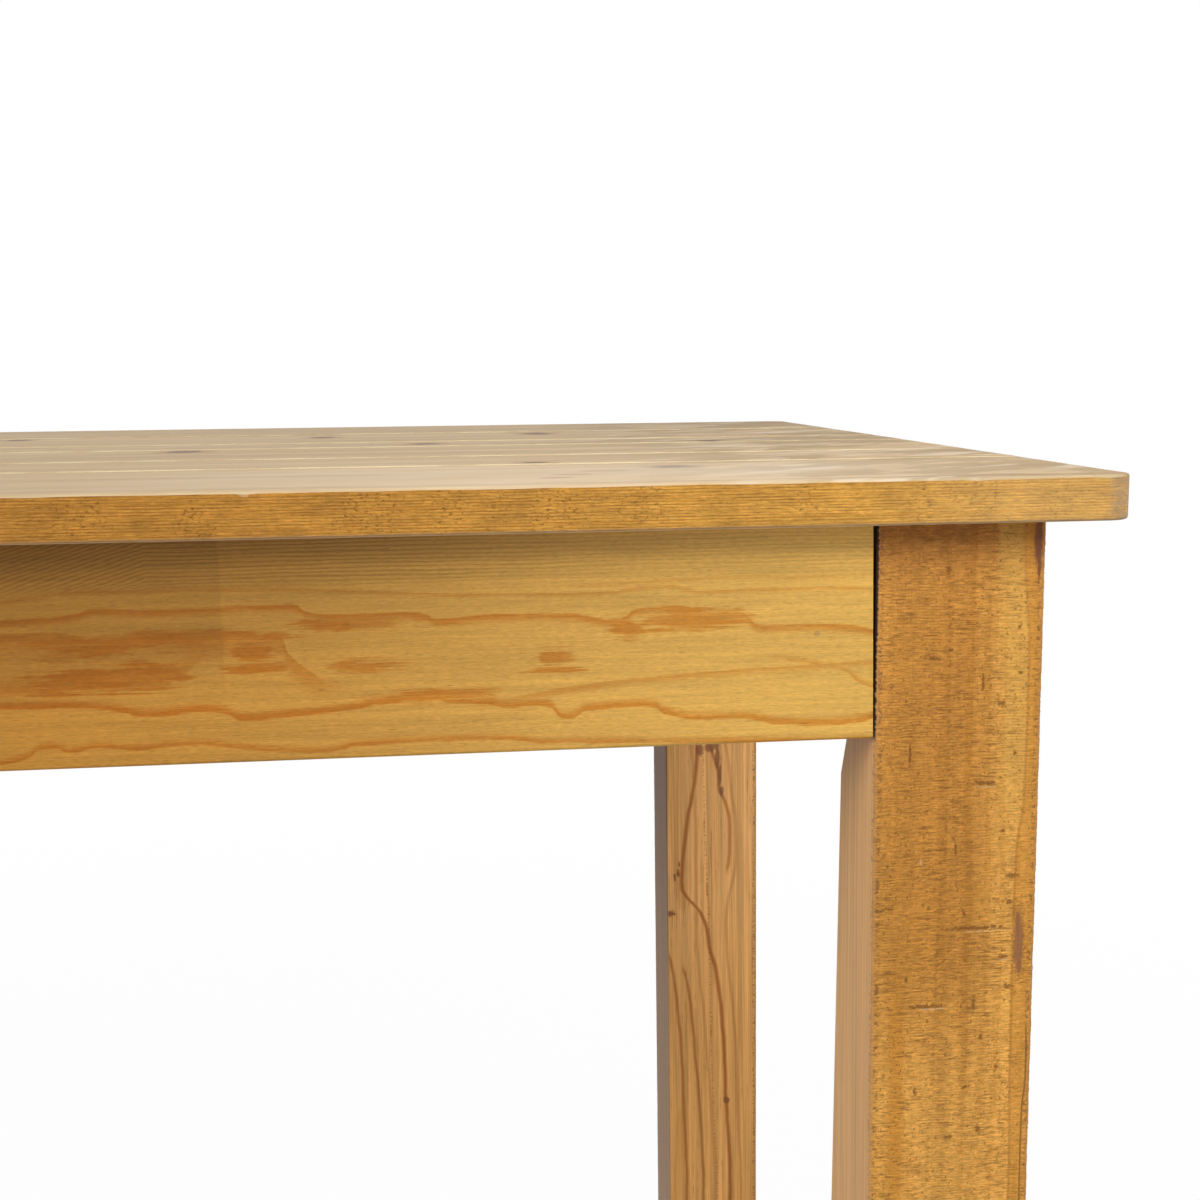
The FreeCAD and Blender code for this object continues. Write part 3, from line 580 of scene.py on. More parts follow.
def plank_face_material(number):
    """Waxed upper face of a plank, with knots, streaks and wiping marks."""
    material, shading, surface = new_material(f"top_plank_{number}_pine")
    position = position_of(shading)
    x, y, _ = position.parts()
    low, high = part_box(f"top_plank_{number}")
    wood, relief, place = plank_grain(shading, position, number, TOP_PALE, TOP_LATE)
    broad = place.noise((1.8, 34.0, 34.0), 4.0, 0.65)
    wood = wood.toned(broad, 0.7, PLANK_TONES[number - 1] - 0.35)
    veins = place.patches((1.1, 120.0, 120.0), 3.0, 0.6, 0.56, 0.68)
    wood = wood.cover(TOP_VEIN, veins, 0.5)
    if number == 1:
        # Painted shade: the front plank is darker towards the left; it is also a little darker towards the
        # right end
        wood = wood.toned(x.rise(0.64, 0.40), -0.12, 1.0)
        wood = wood.toned(x.rise(0.70, 0.80), -0.07, 1.0)

    ragged = position.ripple((90.0, 90.0, 0.0), 1.0, 2.0)
    knots_here = [knot for knot in KNOTS if low.y < knot[1] * MM < high.y]
    streaks_here = [streak for streak in STREAKS if low.y < streak[1] * MM < high.y]
    rims = spots(x, y, ragged - 0.7, knots_here)
    wood = wood.cover(KNOT_RIM, rims, 0.5)
    wood = shading.mix(spots(x, y, ragged, knots_here), wood, KNOT)
    wood = wood.cover(RUSSET, spots(x, y, ragged, streaks_here), 0.6)

    # Smears of wiping at the right end, and a painted sheen along the front: a pale band that stands in for
    # reflection
    aslant = shading.join(x + y * 0.6, y - x * 0.6, 0.0)
    right_end = x.rise(0.62, 0.80)
    smear = aslant.patches((9.0, 15.0, 0.0), 4.0, 0.58, 0.45, 0.52) * right_end
    wood = wood.toned(smear, -0.22, 1.0)
    scuffs = aslant.patches((9.0, 34.0, 7.0), 3.0, 0.6, 0.55, 0.63)
    wood = wood.cover(WAX_HAZE_AND_SHEEN, scuffs * right_end, 0.42)
    sheen_patches = aslant.patches((5.0, 9.0, 0.0), 2.0, 0.5, 0.35, 0.60)
    sheen_band = y.band(-0.33, 0.03, 0.09) * x.band(0.64, 0.09, 0.16)
    wood = wood.cover(WAX_HAZE_AND_SHEEN, sheen_band * sheen_patches.fit(0.6, 0.4), 0.3)

    # Painted highlight along the seams and the front arris, pale in patches
    highlight_lines = []
    if number > 1:
        highlight_lines.append((y - low.y).rise(1.7 * MM, 1.0 * MM))
    if number < PLANK_COUNT:
        highlight_lines.append((high.y - y).rise(1.7 * MM, 1.0 * MM) * 0.4)
    if number == 1:
        highlight_lines.append((y - low.y).rise(3.4 * MM, 0.6 * MM) * 0.26)
    rubbed_and_sheen = position.patches((20.0, 60.0, 60.0), 4.0, 0.65, 0.35, 0.6)
    wood = shading.mix(shading.largest(highlight_lines) * rubbed_and_sheen.fit(0.55, 0.25), wood, HIGHLIGHT_CREAM)

    gloss = place.noise((6.0, 40.0, 40.0), 3.0, 0.6).fit(0.25, 0.40)
    give_finish(shading, surface, wood, gloss + smear * 0.08, 0.2)
    give_bump(shading, surface, relief, 0.25, 0.3 * MM)
    return material


def plank_edge_material(number):
    """Outer edges of a plank: close growth rings, torn fibres, dirt and grey end grain."""
    material, shading, surface = new_material(f"top_edge_{number}_pine")
    position = position_of(shading)
    x, y, z = position.parts()
    low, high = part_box(f"top_plank_{number}")
    wood, relief, place = plank_grain(shading, position, number, EDGE_HONEY, EDGE_AMBER)

    # Fine lines along the edge, broken into lengths
    lines = z.wave(1.35 * MM, place.ripple((5.0, 5.0, 60.0), 1.2, 3.0))
    breaks = position.patches((45.0, 45.0, 500.0), 4.0, 0.65, 0.34, 0.60)
    wood = wood.cover(SAWN_DARK, lines.rise(0.0, 0.95) * breaks, 0.75)
    threads = position.noise((150.0, 150.0, 2600.0), 3.0, 0.75)
    wood = wood.toned(threads, 1.9, 0.05)
    mottle = position.noise((40.0, 40.0, 120.0), 6.0, 0.78)
    wood = wood.toned(mottle, 1.6, 0.23)

    # Torn flecks, thicker in some lengths
    ragged = position.ripple((70.0, 70.0, 160.0), 1.6, 3.0)
    if number == 1:
        torn_zone = spots(x, z, ragged, EDGE_TORN)
    else:
        torn_zone = place.patches((11.0, 0.0, 0.0), 2.0, 0.5, 0.45, 0.60)
    flecks = position.patches((420.0, 420.0, 900.0), 4.0, 0.7, 0.51, 0.66)
    wood = shading.mix(flecks * torn_zone.fit(0.6, 0.24), wood, DIRT)

    # Grey end grain from the start of the rounded corners
    end_grain = abs(x).rise(high.x - 17.0 * MM, high.x - 9.0 * MM)
    grime = position.patches((160.0, 160.0, 330.0), 4.0, 0.65, 0.36, 0.62)
    wood = shading.mix(end_grain * grime.fit(0.6, 0.3), wood, END_GRAIN)
    # Painted shade: the edge is darker towards the left, where less light falls
    leftward_shade = x.rise(0.95, 0.36)
    wood = shading.mix(leftward_shade, wood, EDGE_PAINTED_SHADE, "MULTIPLY")
    # Paler towards the right end
    paler_end = x.rise(0.76, 0.86) * 0.3
    wood = shading.mix(paler_end, wood, PALER_END)

    # Marks of the front edge, and a painted sheen along the rounded lower arris
    if number == 1:
        on_front = y.rise(low.y + 8.0 * MM, low.y + 4.0 * MM)
        ragged = position.ripple((260.0, 260.0, 900.0), 3.6, 4.0) + 0.1
        dirt = spots(x, z, ragged, EDGE_DIRT) * on_front
        wood = wood.cover(DIRT, dirt, 0.35)
        chips = spots(x, z, ragged, EDGE_CHIPS) * on_front
        wood = wood.cover(CHIP, chips, 0.35)
    rubbed_and_sheen = z.rise(low.z + 1.7 * MM, low.z + 0.7 * MM)
    wood = wood.cover(LOWER_ARRIS_SHEEN, rubbed_and_sheen, 0.5)

    give_finish(shading, surface, wood, mottle.fit(0.2, 0.48), 0.15)
    height = relief * 0.5 + (threads + flecks * -0.6)
    give_bump(shading, surface, height, 0.5, 0.3 * MM)
    return material


# Legs. Marks of the two right legs are in millimetres along X and up Z.

LEG_TEARS = [(833, 625.8, 7, 1.5), (831, 554.8, 19, 1.2), (806, 516.6, 11, 1.4), (830.6, 516.5, 0.9, 5),
             (797, 640, 0.8, 7), (831.5, 674, 0.8, 6), (846.5, 567, 3, 1.6), (845, 540, 3.2, 1.3),
             (847, 524.5, 3.2, 1.8), (802, 474, 0.9, 2.4), (827, 474.5, 2.6, 1.5), (834.5, 499.5, 1.3, 1.6),
             (842.5, 484, 1.3, 1.6), (819, 449, 2.8, 1.3), (834, 452, 1.4, 2.6), (841, 664, 2.6, 1.3),
             (848.5, 699.5, 1.3, 1.1), (843, 602, 1.8, 1.0), (848, 640, 1.3, 1.3), (815.5, 690, 1.7, 1.1),
             (807, 686, 4.5, 1.2), (849.5, 678, 1.2, 1), (820, 594, 0.8, 4), (797, 530, 1, 1.6),
             (848, 580, 3.4, 1.4), (784, 565.5, 4.5, 1.0), (814, 727, 1.6, 2.4), (788, 566, 3, 0.8),
             (825, 562, 1.6, 1.6)]
LEG_LIPS = [(803, 589, 1.0, 1.7), (810, 515.2, 8, 0.6), (833, 624.0, 5, 0.5), (833, 553.0, 14, 0.5),
            (845, 538.2, 3, 0.5)]
LEG_BARK = [(856.6, 741, 2.3, 13), (857.2, 730, 1.0, 10)]
LEG_SCAR = [(852.2, 546, 2.5, 17)]
LEG_SCAR_RIM = [(852.4, 546, 3.3, 18.5)]
# Points of lines are up Z, then along X. Each rear line: its width, its strength and its points.
LEG_DOTTED_LINE = [(430, 809), (500, 811), (560, 812.5), (620, 815.5), (690, 815), (750, 813.5)]
LEG_STRIP_EDGE = [(430, 850), (560, 849), (590, 849.5), (620, 852.5), (650, 853), (690, 853), (705, 852),
                  (722, 850.6), (750, 849.5)]
LEG_CRACK = [(430, 856), (450, 856), (465, 856.4), (480, 857.6), (506, 857)]
REAR_LINES = [
    (2.6, 0.9,
     [(100, 836), (180, 832), (210, 831), (240, 829), (270, 826), (290, 823), (310, 818), (325, 816),
      (340, 811), (350, 804), (360, 796), (368, 793), (380, 793), (400, 795), (430, 799), (450, 803),
      (470, 806), (500, 808)]),
    (2.2, 0.75,
     [(380, 834), (400, 836), (425, 836), (440, 833), (448, 830), (455, 827), (470, 826), (478, 824),
      (500, 816)]),
    (2.0, 0.75, [(100, 796), (180, 793), (210, 792), (240, 790), (270, 787), (305, 782)]),
    (2.0, 0.75, [(100, 811), (180, 807), (200, 805), (230, 803), (260, 800), (292, 794)]),
    (2.0, 0.4,
     [(100, 846), (150, 843), (200, 842), (260, 838), (330, 833), (400, 842), (450, 838), (500, 832)]),
    (2.0, 0.35, [(100, 822), (170, 818), (240, 813), (330, 806), (420, 806), (500, 802)]),
]
REAR_RUN = (100, 500)
REAR_PITH = [(100, 824), (180, 820), (340, 817), (420, 814), (500, 813)]
REAR_HOLES = [(790, 380, 1.6, 4), (787, 376, 1.2, 4), (791, 388, 1, 3), (832.5, 165, 3.2, 3.6),
              (783, 343, 5, 3)]
REAR_KNOT = [(820, 493, 8, 5), (825.5, 483, 3.4, 9), (827.5, 468, 1.8, 12), (829, 453, 2.2, 5),
             (810, 491, 3.5, 6)]


def front_right_marks(shading, position, outer, dark):
    """Bands, tears, bark and scar on the front face of the front right leg."""
    x, y, z = position.parts()
    low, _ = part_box("leg_front_right")
    on_front = y.rise(low.y + 1.6 * MM, low.y + 0.6 * MM)

    weathered_and_painted_shade = x.band(0.808, 16.0 * MM, 22.0 * MM) * z.band(0.625, 0.07, 0.10)
    outer = shading.mix(weathered_and_painted_shade * 0.9, outer, WEATHERED, "MULTIPLY")
    pale_foot = z.rise(0.56, 0.46)
    outer = outer.toned(pale_foot, 0.10, 1.0)
    streak = x.band(0.7925, 1.5 * MM, 4.0 * MM) * z.rise(0.55, 0.50)
    outer = outer.cover(AMBER, streak, 0.5)

    # Smooth orange strip beside the right arris, with a dark seam at its start and a pale band before it
    strip_edge = z.line(LEG_STRIP_EDGE)
    past_edge = x - strip_edge
    strip = past_edge.rise(-0.4 * MM, 0.4 * MM)
    outer = outer.cover(AMBER, strip, 0.35)
    seam = past_edge.band(0.4 * MM, 0.3 * MM, 0.8 * MM)
    outer = outer.cover(RUSSET, seam, 0.3)
    pale_band = past_edge.band(-6.0 * MM, 3.5 * MM, 5.0 * MM) * z.rise(0.58, 0.64)
    outer = outer.cover(HONEY, pale_band, 0.4)
    dark *= strip.fit(-0.1, 1.0)

    dots = position.patches((0.0, 0.0, 420.0), 2.0, 0.6, 0.46, 0.60)
    thread = x.band(z.line(LEG_DOTTED_LINE), 0.3 * MM, 1.2 * MM) * dots
    crack = x.band(z.line(LEG_CRACK), 0.15 * MM, 0.6 * MM) * z.rise(0.510, 0.500)
    ragged = position.ripple((520.0, 0.0, 800.0), 3.6, 5.0) + 0.15
    tears = spots(x, z, ragged, LEG_TEARS)
    rim = spots(x, z, ragged, LEG_SCAR_RIM)
    dark = shading.largest([dark, thread * 0.5, crack * 0.75, tears * 0.78, rim * 0.55])
    outer = shading.mix(dark, outer, DIRT)

    worn = position.ripple((420.0, 0.0, 190.0), 1.6, 4.0)
    stripes = position.noise((900.0, 0.0, 40.0), 3.0, 0.6).fit(1.2, 0.4)
    bark = spots(x, z, worn, LEG_BARK) * on_front
    outer = shading.mix(bark, outer, shading.shade(BARK, stripes))
    scar = spots(x, z, worn, LEG_SCAR) * on_front
    outer = outer.cover(shading.shade(SCAR, stripes), scar, 0.9)
    lips = spots(x, z, ragged, LEG_LIPS) * on_front
    outer = outer.cover(CHIP, lips, 0.3)
    return outer, dark


def rear_right_figure(shading, position, smooth):
    """Dark growth lines, dotted pith, small holes and painted light on the rear right leg's inner front
    face, painted shade on its left face.
    """
    x, y, z = position.parts()
    low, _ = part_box("leg_rear_right")
    on_inner = y.rise(low.y + 3.0 * MM, low.y + 1.0 * MM)
    sway = position.ripple((26.0, 0.0, 40.0), 2.0 * MM, 2.0)
    sway += position.ripple((900.0, 0.0, 45.0), 1.6 * MM, 3.0)
    across = x + sway
    streaks = position.noise((170.0, 170.0, 3.0), 4.0, 0.65)
    fine = position.noise((800.0, 800.0, 9.0), 2.0, 0.6)
    smooth = smooth.toned(streaks + fine, 0.8, 0.2)
    dashes = position.patches((950.0, 950.0, 42.0), 3.0, 0.65, 0.57, 0.68)
    dash_zones = position.patches((60.0, 60.0, 9.0), 2.0, 0.5, 0.42, 0.58)
    lines = [dashes * dash_zones * 0.6]
    for width, strength, points in REAR_LINES:
        mask = across.band(z.line(points), width * 0.15 * MM, width * MM)
        shown = within_run(z, points, 6, REAR_RUN) * strength
        lines.append(mask * shown)
    smooth = shading.mix(shading.largest(lines) * on_inner, smooth, RUSSET)

    dots = position.patches((0.0, 0.0, 500.0), 2.0, 0.6, 0.45, 0.6)
    pith_line = x.band(z.line(REAR_PITH), 0.3 * MM, 0.9 * MM) * dots
    ragged = position.ripple((300.0, 0.0, 300.0), 1.6, 3.0)
    holes = spots(x, z, ragged, REAR_HOLES)
    splayed = position.ripple((420.0, 0.0, 50.0), 2.0, 3.0)
    knot = spots(x, z, splayed, REAR_KNOT)
    marks = shading.largest([pith_line * 0.6, holes * 0.9, knot * 0.8])
    smooth = shading.mix(marks * on_inner, smooth, BARK)
    # Painted light on the inner front face, brighter towards the top
    painted_light = shading.mix(z.rise(0.20, 0.45), PAINTED_LIGHT_FOOT, PAINTED_LIGHT_HEAD)
    smooth = shading.mix(on_inner, smooth, painted_light, "MULTIPLY")

    # Painted shade on the left face, darkest under the apron
    on_left_face = x.rise(low.x + 1.5 * MM, low.x + 0.5 * MM)
    weathered_and_painted_shade = shading.mix(z.rise(0.52, 0.26), LEFT_FACE_SHADOW, LEFT_FACE_SHADE_LOW)
    return shading.mix(on_left_face, smooth, weathered_and_painted_shade)


def leg_material(corner):
    material, shading, surface = new_material(f"leg_{corner}_pine")
    position = position_of(shading)
    x, y, z = position.parts()
    low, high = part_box(f"leg_{corner}")
    side_x = 1 if high.x > 0 else -1
    side_y = 1 if high.y > 0 else -1
    place = board_place(shading, position, "Z", 5.0 + 1.7 * CORNERS.index(corner))

    # Distances from the outer faces, which are rough-sawn; the two inner faces are smooth
    from_x = high.x - x if side_x > 0 else x - low.x
    from_y = y - low.y if side_y < 0 else high.y - y
    inner_x = high.x - low.x - from_x
    inner_y = high.y - low.y - from_y
    rough = shading.largest([from_y.rise(1.6 * MM, 0.6 * MM), from_x.rise(1.6 * MM, 0.6 * MM)])
    from_arris = shading.math("MAXIMUM", shading.math("MINIMUM", from_x, inner_x),
                              shading.math("MINIMUM", from_y, inner_y))

    pith = ((low.x + high.x) / 2 - side_x * 0.03, (low.y + high.y) / 2 - side_y * 0.02)
    outer, _ = plain_pine(shading, place, pith, 5.0 * MM, 0.02, SAWN, SAWN_LATE, 0.3)
    smooth, smooth_relief = plain_pine(shading, place, pith, 5.0 * MM, 0.02, TAN, TAN_LATE, 0.4)

    # Rough-sawn outer faces
    sawn = shading.group(ROUGH_SAWN, {"Place": place})
    bands = place.noise((1.6, 60.0, 60.0), 4.0, 0.6)
    outer = outer.toned(bands, 0.5, 0.82)
    outer = outer.toned(sawn["Nap"], 0.9, 0.60)
    outer = outer.toned(place.noise((1500.0, 260.0, 260.0), 3.0, 0.7), 1.4, 0.34)
    dark = shading.largest([sawn["Comb"] * 0.32, sawn["Dash"] * 0.70, sawn["Speck"] * 0.66])
    # Painted shadow under the table top at the heads of the legs
    outer = shading.mix(z.rise(0.712, 0.747), outer, SHADOW_UNDER_TOP, "MULTIPLY")
    if corner == "front_right":
        outer, dark = front_right_marks(shading, position, outer, dark)
    else:
        outer = shading.mix(dark, outer, DIRT)

    # Smooth inner faces
    if corner == "rear_right":
        smooth = rear_right_figure(shading, position, smooth)
    smooth = smooth.toned(place.noise((3.0, 220.0, 220.0), 5.0, 0.7), 0.9, 0.53)
    wood = shading.mix(rough, smooth, outer)

    # Beads torn along the outer arrises, and painted shadow in the gaps at the joints with the aprons
    teeth = place.patches((640.0, 420.0, 420.0), 3.0, 0.6, 0.46, 0.58)
    from_outside = shading.math("MINIMUM", from_x, from_y)
    near_outside = from_outside.rise(5.0 * MM, 3.0 * MM)
    beads = from_arris.band(2.4 * MM, 0.5 * MM, 1.2 * MM) * near_outside
    broken = place.patches((230.0, 140.0, 140.0), 4.0, 0.7, 0.38, 0.62)
    notch = beads * teeth * broken.fit(0.65, 0.15)
    wood = shading.mix(notch, wood, BEAD)
    rubbed_and_sheen = from_arris.rise(1.8 * MM, 1.0 * MM) * near_outside
    wood = wood.cover(RUBBED_ARRIS, rubbed_and_sheen, 0.5)
    under_apron = z.rise(0.646, 0.651)
    from_joint = shading.math("MINIMUM", inner_x, inner_y)
    from_joint += place.ripple((380.0, 0.0, 0.0), 3.0 * MM, 3.0)
    from_joint += z.rise(0.66, 0.74).fit(-0.5 * MM, 0.5 * MM)
    joint_shadow = from_joint.rise(1.4 * MM, 0.6 * MM) * from_outside.rise(9.0 * MM, 4.0 * MM)
    wood = shading.mix(joint_shadow * under_apron, wood, GAP_SHADOW)

    specular = 0.06 if corner == "rear_right" else 0.15
    give_finish(shading, surface, wood, rough.fit(0.15, 0.5), specular)
    saw_relief = sawn["Nap"] * 1.3 + dark * -1.0
    height = saw_relief * rough + smooth_relief * 0.4
    height += notch * -0.8
    give_bump(shading, surface, height, 0.6, 0.35 * MM)
    return material


# Hidden wood, metal and plastic

def bare_wood_material(name, grain_axis, early, late, spacing, shift):
    material, shading, surface = new_material(name)
    place = board_place(shading, position_of(shading), grain_axis, shift)
    wood, relief = plain_pine(shading, place, (0.03, 0.68), spacing, 0.02, early, late, 0.6)
    give_finish(shading, surface, wood, 0.6)
    give_bump(shading, surface, relief, 0.3, 0.3 * MM)
    return material


def metal_material(name, bright, dull):
    material, shading, surface = new_material(name)
    position = position_of(shading)
    cloud = position.patches((90.0, 90.0, 90.0), 4.0, 0.6, 0.35, 0.65)
    scratch = position.patches((2200.0, 2200.0, 60.0), 2.0, 0.5, 0.6, 0.75)
    tint = shading.mix(cloud, bright, dull)
    tint = tint.toned(scratch, 0.25, 0.95)
    give_finish(shading, surface, tint, cloud.fit(0.2, 0.28))
    surface.inputs["Metallic"].default_value = 1.0
    give_bump(shading, surface, scratch, 0.15, 0.1 * MM)
    return material


def plastic_material():
    material, shading, surface = new_material("glide_brown_plastic")
    position = position_of(shading)
    grain = position.noise((1800.0, 1800.0, 1800.0), 2.0, 0.5)
    scuff = position.patches((300.0, 300.0, 300.0), 3.0, 0.6, 0.55, 0.75)
    tint = shading.mix(scuff * 0.5, *BROWN_PLASTIC)
    give_finish(shading, surface, tint, scuff.fit(0.25, 0.45))
    give_bump(shading, surface, grain, 0.2, 0.1 * MM)
    return material


# Planks and legs with worn edges, in place of the plain ones

EDGE_STEP = 2.0 * MM
EDGE_ROUND = 1.2 * MM
# Inset and drop at the middle of a rounded arris, as a share of its size
MIDWAY = 0.3
# Distance from an arris to the points that keep the face beside it flat
EDGE_GUARD = 0.6 * MM
SEAM_BEVEL = 1.0 * MM
CORNER_RADIUS = 15.0 * MM
CORNER_STEPS = 12
LIP_RISE = (0.0, 0.50 * MM, 0.42 * MM, 0.50 * MM, 0.45 * MM, 0.50 * MM)
LIP_FADE = 60.0 * MM
NEAR_FRONT = -0.39
# Chips of the front arris: middle along X, half length and depth
ARRIS_CHIPS = [(0.826, 8.0 * MM, 0.5 * MM), (0.886, 6.0 * MM, 0.5 * MM), (0.500, 5.0 * MM, 0.3 * MM),
               (0.312, 7.0 * MM, 0.7 * MM), (-0.240, 9.0 * MM, 1.0 * MM), (-0.705, 7.0 * MM, 1.1 * MM)]


def unevenness(*place):
    """Smooth change between about -1 and 1 with the place."""
    return noise.noise(Vector(place))


def loft(rings, sharp_columns=()):
    """Drum cut into levels, its points moved to the rings, with sharp edges along some columns."""
    columns = len(rings[0])
    levels = len(rings) - 1
    shape = bmesh.new()
    bmesh.ops.create_cone(shape, cap_ends=True, segments=columns, radius1=1.0, radius2=1.0, depth=levels)
    caps = [face for face in shape.faces if abs(face.normal.z) > 0.5]
    upright = [edge for edge in shape.edges if edge.verts[0].co.z * edge.verts[1].co.z < 0.0]
    bmesh.ops.subdivide_edges(shape, edges=upright, cuts=levels - 1, use_grid_fill=True)

    ring_places = {}
    for point in shape.verts:
        turn = math.atan2(point.co.x, point.co.y) / (2.0 * math.pi)
        ring_places[point] = (round(turn * columns) % columns, round(point.co.z + levels / 2))
    for point, (column, level) in ring_places.items():
        point.co = rings[level][column]
    for edge in shape.edges:
        column, other_column = (ring_places[point][0] for point in edge.verts)
        edge.smooth = not (column == other_column and column in sharp_columns)
    for face in shape.faces:
        face.smooth = face not in caps
    bmesh.ops.triangulate(shape, faces=caps)
    bmesh.ops.recalc_face_normals(shape, faces=shape.faces)
    shape.normal_update()
    return shape


def set_piece(name, shape, materials, node):
    mesh = bpy.data.meshes.new(name)
    shape.to_mesh(mesh)
    shape.free()
    for material in materials:
        mesh.materials.append(material)
    piece = bpy.data.objects.new(name, mesh)
    bpy.context.scene.collection.objects.link(piece)
    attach(piece, "root")
    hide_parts(node)


def stretch(start, end, step):
    """Places from start up to, not including, end."""
    count = max(1, round(abs(end - start) / step))
    return [start + (end - start) * index / count for index in range(count)]


def plank_outline(number):
    """Outline seen from above: each point with its way in at an outer edge and its way in at a seam."""
    low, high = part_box(f"top_plank_{number}")
    points = []
    for corner_x, corner_y in ((1, -1), (1, 1), (-1, 1), (-1, -1)):
        edge_x = high.x * corner_x
        edge_y = high.y if corner_y > 0 else low.y
        is_outer = (number == 1 and corner_y < 0) or (number == PLANK_COUNT and corner_y > 0)
        if is_outer:
            middle = Vector((edge_x - CORNER_RADIUS * corner_x, edge_y - CORNER_RADIUS * corner_y))
            turns = [math.pi / 2 * index / CORNER_STEPS for index in range(CORNER_STEPS + 1)]
            outward = [Vector((math.cos(turn) * corner_x, math.sin(turn) * corner_y)) for turn in turns]
            arc = [(middle + way * CORNER_RADIUS, -way, Vector((0, 0))) for way in outward]
        else:
            arc = [(Vector((edge_x, edge_y)), Vector((-corner_x, 0)), Vector((0, -corner_y)))]
        starts_at_end = corner_x * corner_y > 0
        points.append(arc if starts_at_end else arc[::-1])

    outline = []
    for arc, following in zip(points, points[1:] + points[:1]):
        outline.extend(arc)
        start, end = arc[-1][0], following[0][0]
        along_end = abs(start.x - end.x) < MM
        outer_edge = along_end or arc[-1][2].length == 0
        if along_end:
            way_in = Vector((-math.copysign(1, start.x), 0))
        else:
            way_in = Vector((0, math.copysign(1, -start.y)))
        length = (end - start).length
        if outer_edge:
            for share in stretch(0.0, 1.0, EDGE_STEP / length)[1:]:
                outline.append((start.lerp(end, share), way_in, Vector((0, 0))))
        else:
            for share in (LIP_FADE / length, 1.0 - LIP_FADE / length):
                outline.append((start.lerp(end, share), Vector((0, 0)), arc[-1][2]))
    return outline


def lip_rise(number, low, high, place):
    """Height of a plank above the plank before it: most at its front edge, little near the top's ends."""
    across = (high.y - place.y) / (high.y - low.y)
    from_end = min(1.0, (high.x - abs(place.x)) / LIP_FADE)
    return LIP_RISE[number - 1] * across * (0.3 + 0.7 * from_end)


def arris_round(place):
    """Worn rounding of the upper arris at a place on the outline."""
    round_here = EDGE_ROUND * (1.0 + 0.3 * unevenness(place.x * 45, place.y * 45, 1.5))
    round_here += 0.5 * MM * max(0.0, unevenness(place.x * 19, place.y * 19, 8.5) - 0.25)
    if place.y < NEAR_FRONT:
        for middle, half_length, depth in ARRIS_CHIPS:
            within = 1.0 - ((place.x - middle) / half_length) ** 2
            if within > 0:
                round_here += depth * within * (0.7 + 0.5 * unevenness(place.x * 600, 4.0, 2.0))
    return round_here


def worn_plank(number):
    low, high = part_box(f"top_plank_{number}")
    columns = []
    for place, outer_in, seam_in in plank_outline(number):
        top = arris_round(place)
        upper = high.z + lip_rise(number, low, high, place)
        levels = [
            (low.z, EDGE_ROUND, 0.0),
            (low.z + MIDWAY * EDGE_ROUND, MIDWAY * EDGE_ROUND, 0.0),
            (low.z + EDGE_ROUND, 0.0, 0.0),
            (low.z + EDGE_ROUND + EDGE_GUARD, 0.0, 0.0),
            (upper - top - EDGE_GUARD, 0.0, 0.0),
            (upper - top, 0.0, 0.0),
            (upper - MIDWAY * top, MIDWAY * top, max(0.0, SEAM_BEVEL - MIDWAY * top)),
            (upper, top, SEAM_BEVEL),
        ]
        column = []
        for z, outer_inset, seam_inset in levels:
            flat = place + outer_in * outer_inset + seam_in * seam_inset
            column.append((flat.x, flat.y, z))
        columns.append(column)
    shape = loft(list(zip(*columns)))
    face_top = high.z - 0.9 * EDGE_ROUND
    for face in shape.faces:
        if abs(face.normal.z) < 0.9 and face.calc_center_median().z < face_top:
            face.material_index = 1
    set_piece(f"worn_plank_{number}", shape, [plank_face_material(number), plank_edge_material(number)],
              f"top_plank_{number}")


LEG_WIDTH = 80.0 * MM
LEG_RING_STEP = 0.95 * MM
LEG_GUARD = 0.7 * MM
ARRIS_POINTS = 3
FACE_POINTS = 7
SAW_DEPTH = 0.08 * MM
FOOT_BEVEL = 4.0 * MM
ARRIS = 0.9 * MM
FLAT_REACH = 34.0 * MM
RUN_OUT_REACH = 15.4 * MM
FLAT_FOOT = 0.652
RUN_OUT_START = 0.618
RUN_OUT_END = {"front": 0.323, "rear": 0.508}


def inside_corner_cut(row, z):
    """Reach of the cut on the leg's inside corner along each inner face."""
    if z >= FLAT_FOOT:
        return FLAT_REACH
    if z >= RUN_OUT_START:
        share = (z - RUN_OUT_START) / (FLAT_FOOT - RUN_OUT_START)
        return RUN_OUT_REACH + (FLAT_REACH - RUN_OUT_REACH) * share
    share = (z - RUN_OUT_END[row]) / (RUN_OUT_START - RUN_OUT_END[row])
    return max(ARRIS, RUN_OUT_REACH * share)


def torn_arris(z, seed):
    """Size of an outer arris at a height: torn by the saw, with a few larger splinters."""
    size = ARRIS * (1.0 + 0.7 * unevenness(z * 900, seed, 0.5) + 0.4 * unevenness(z * 60, seed, 3.5))
    splinter = max(0.0, unevenness(z * 36, seed, 6.5) - 0.35)
    return max(0.3 * MM, size + 2.0 * MM * splinter)


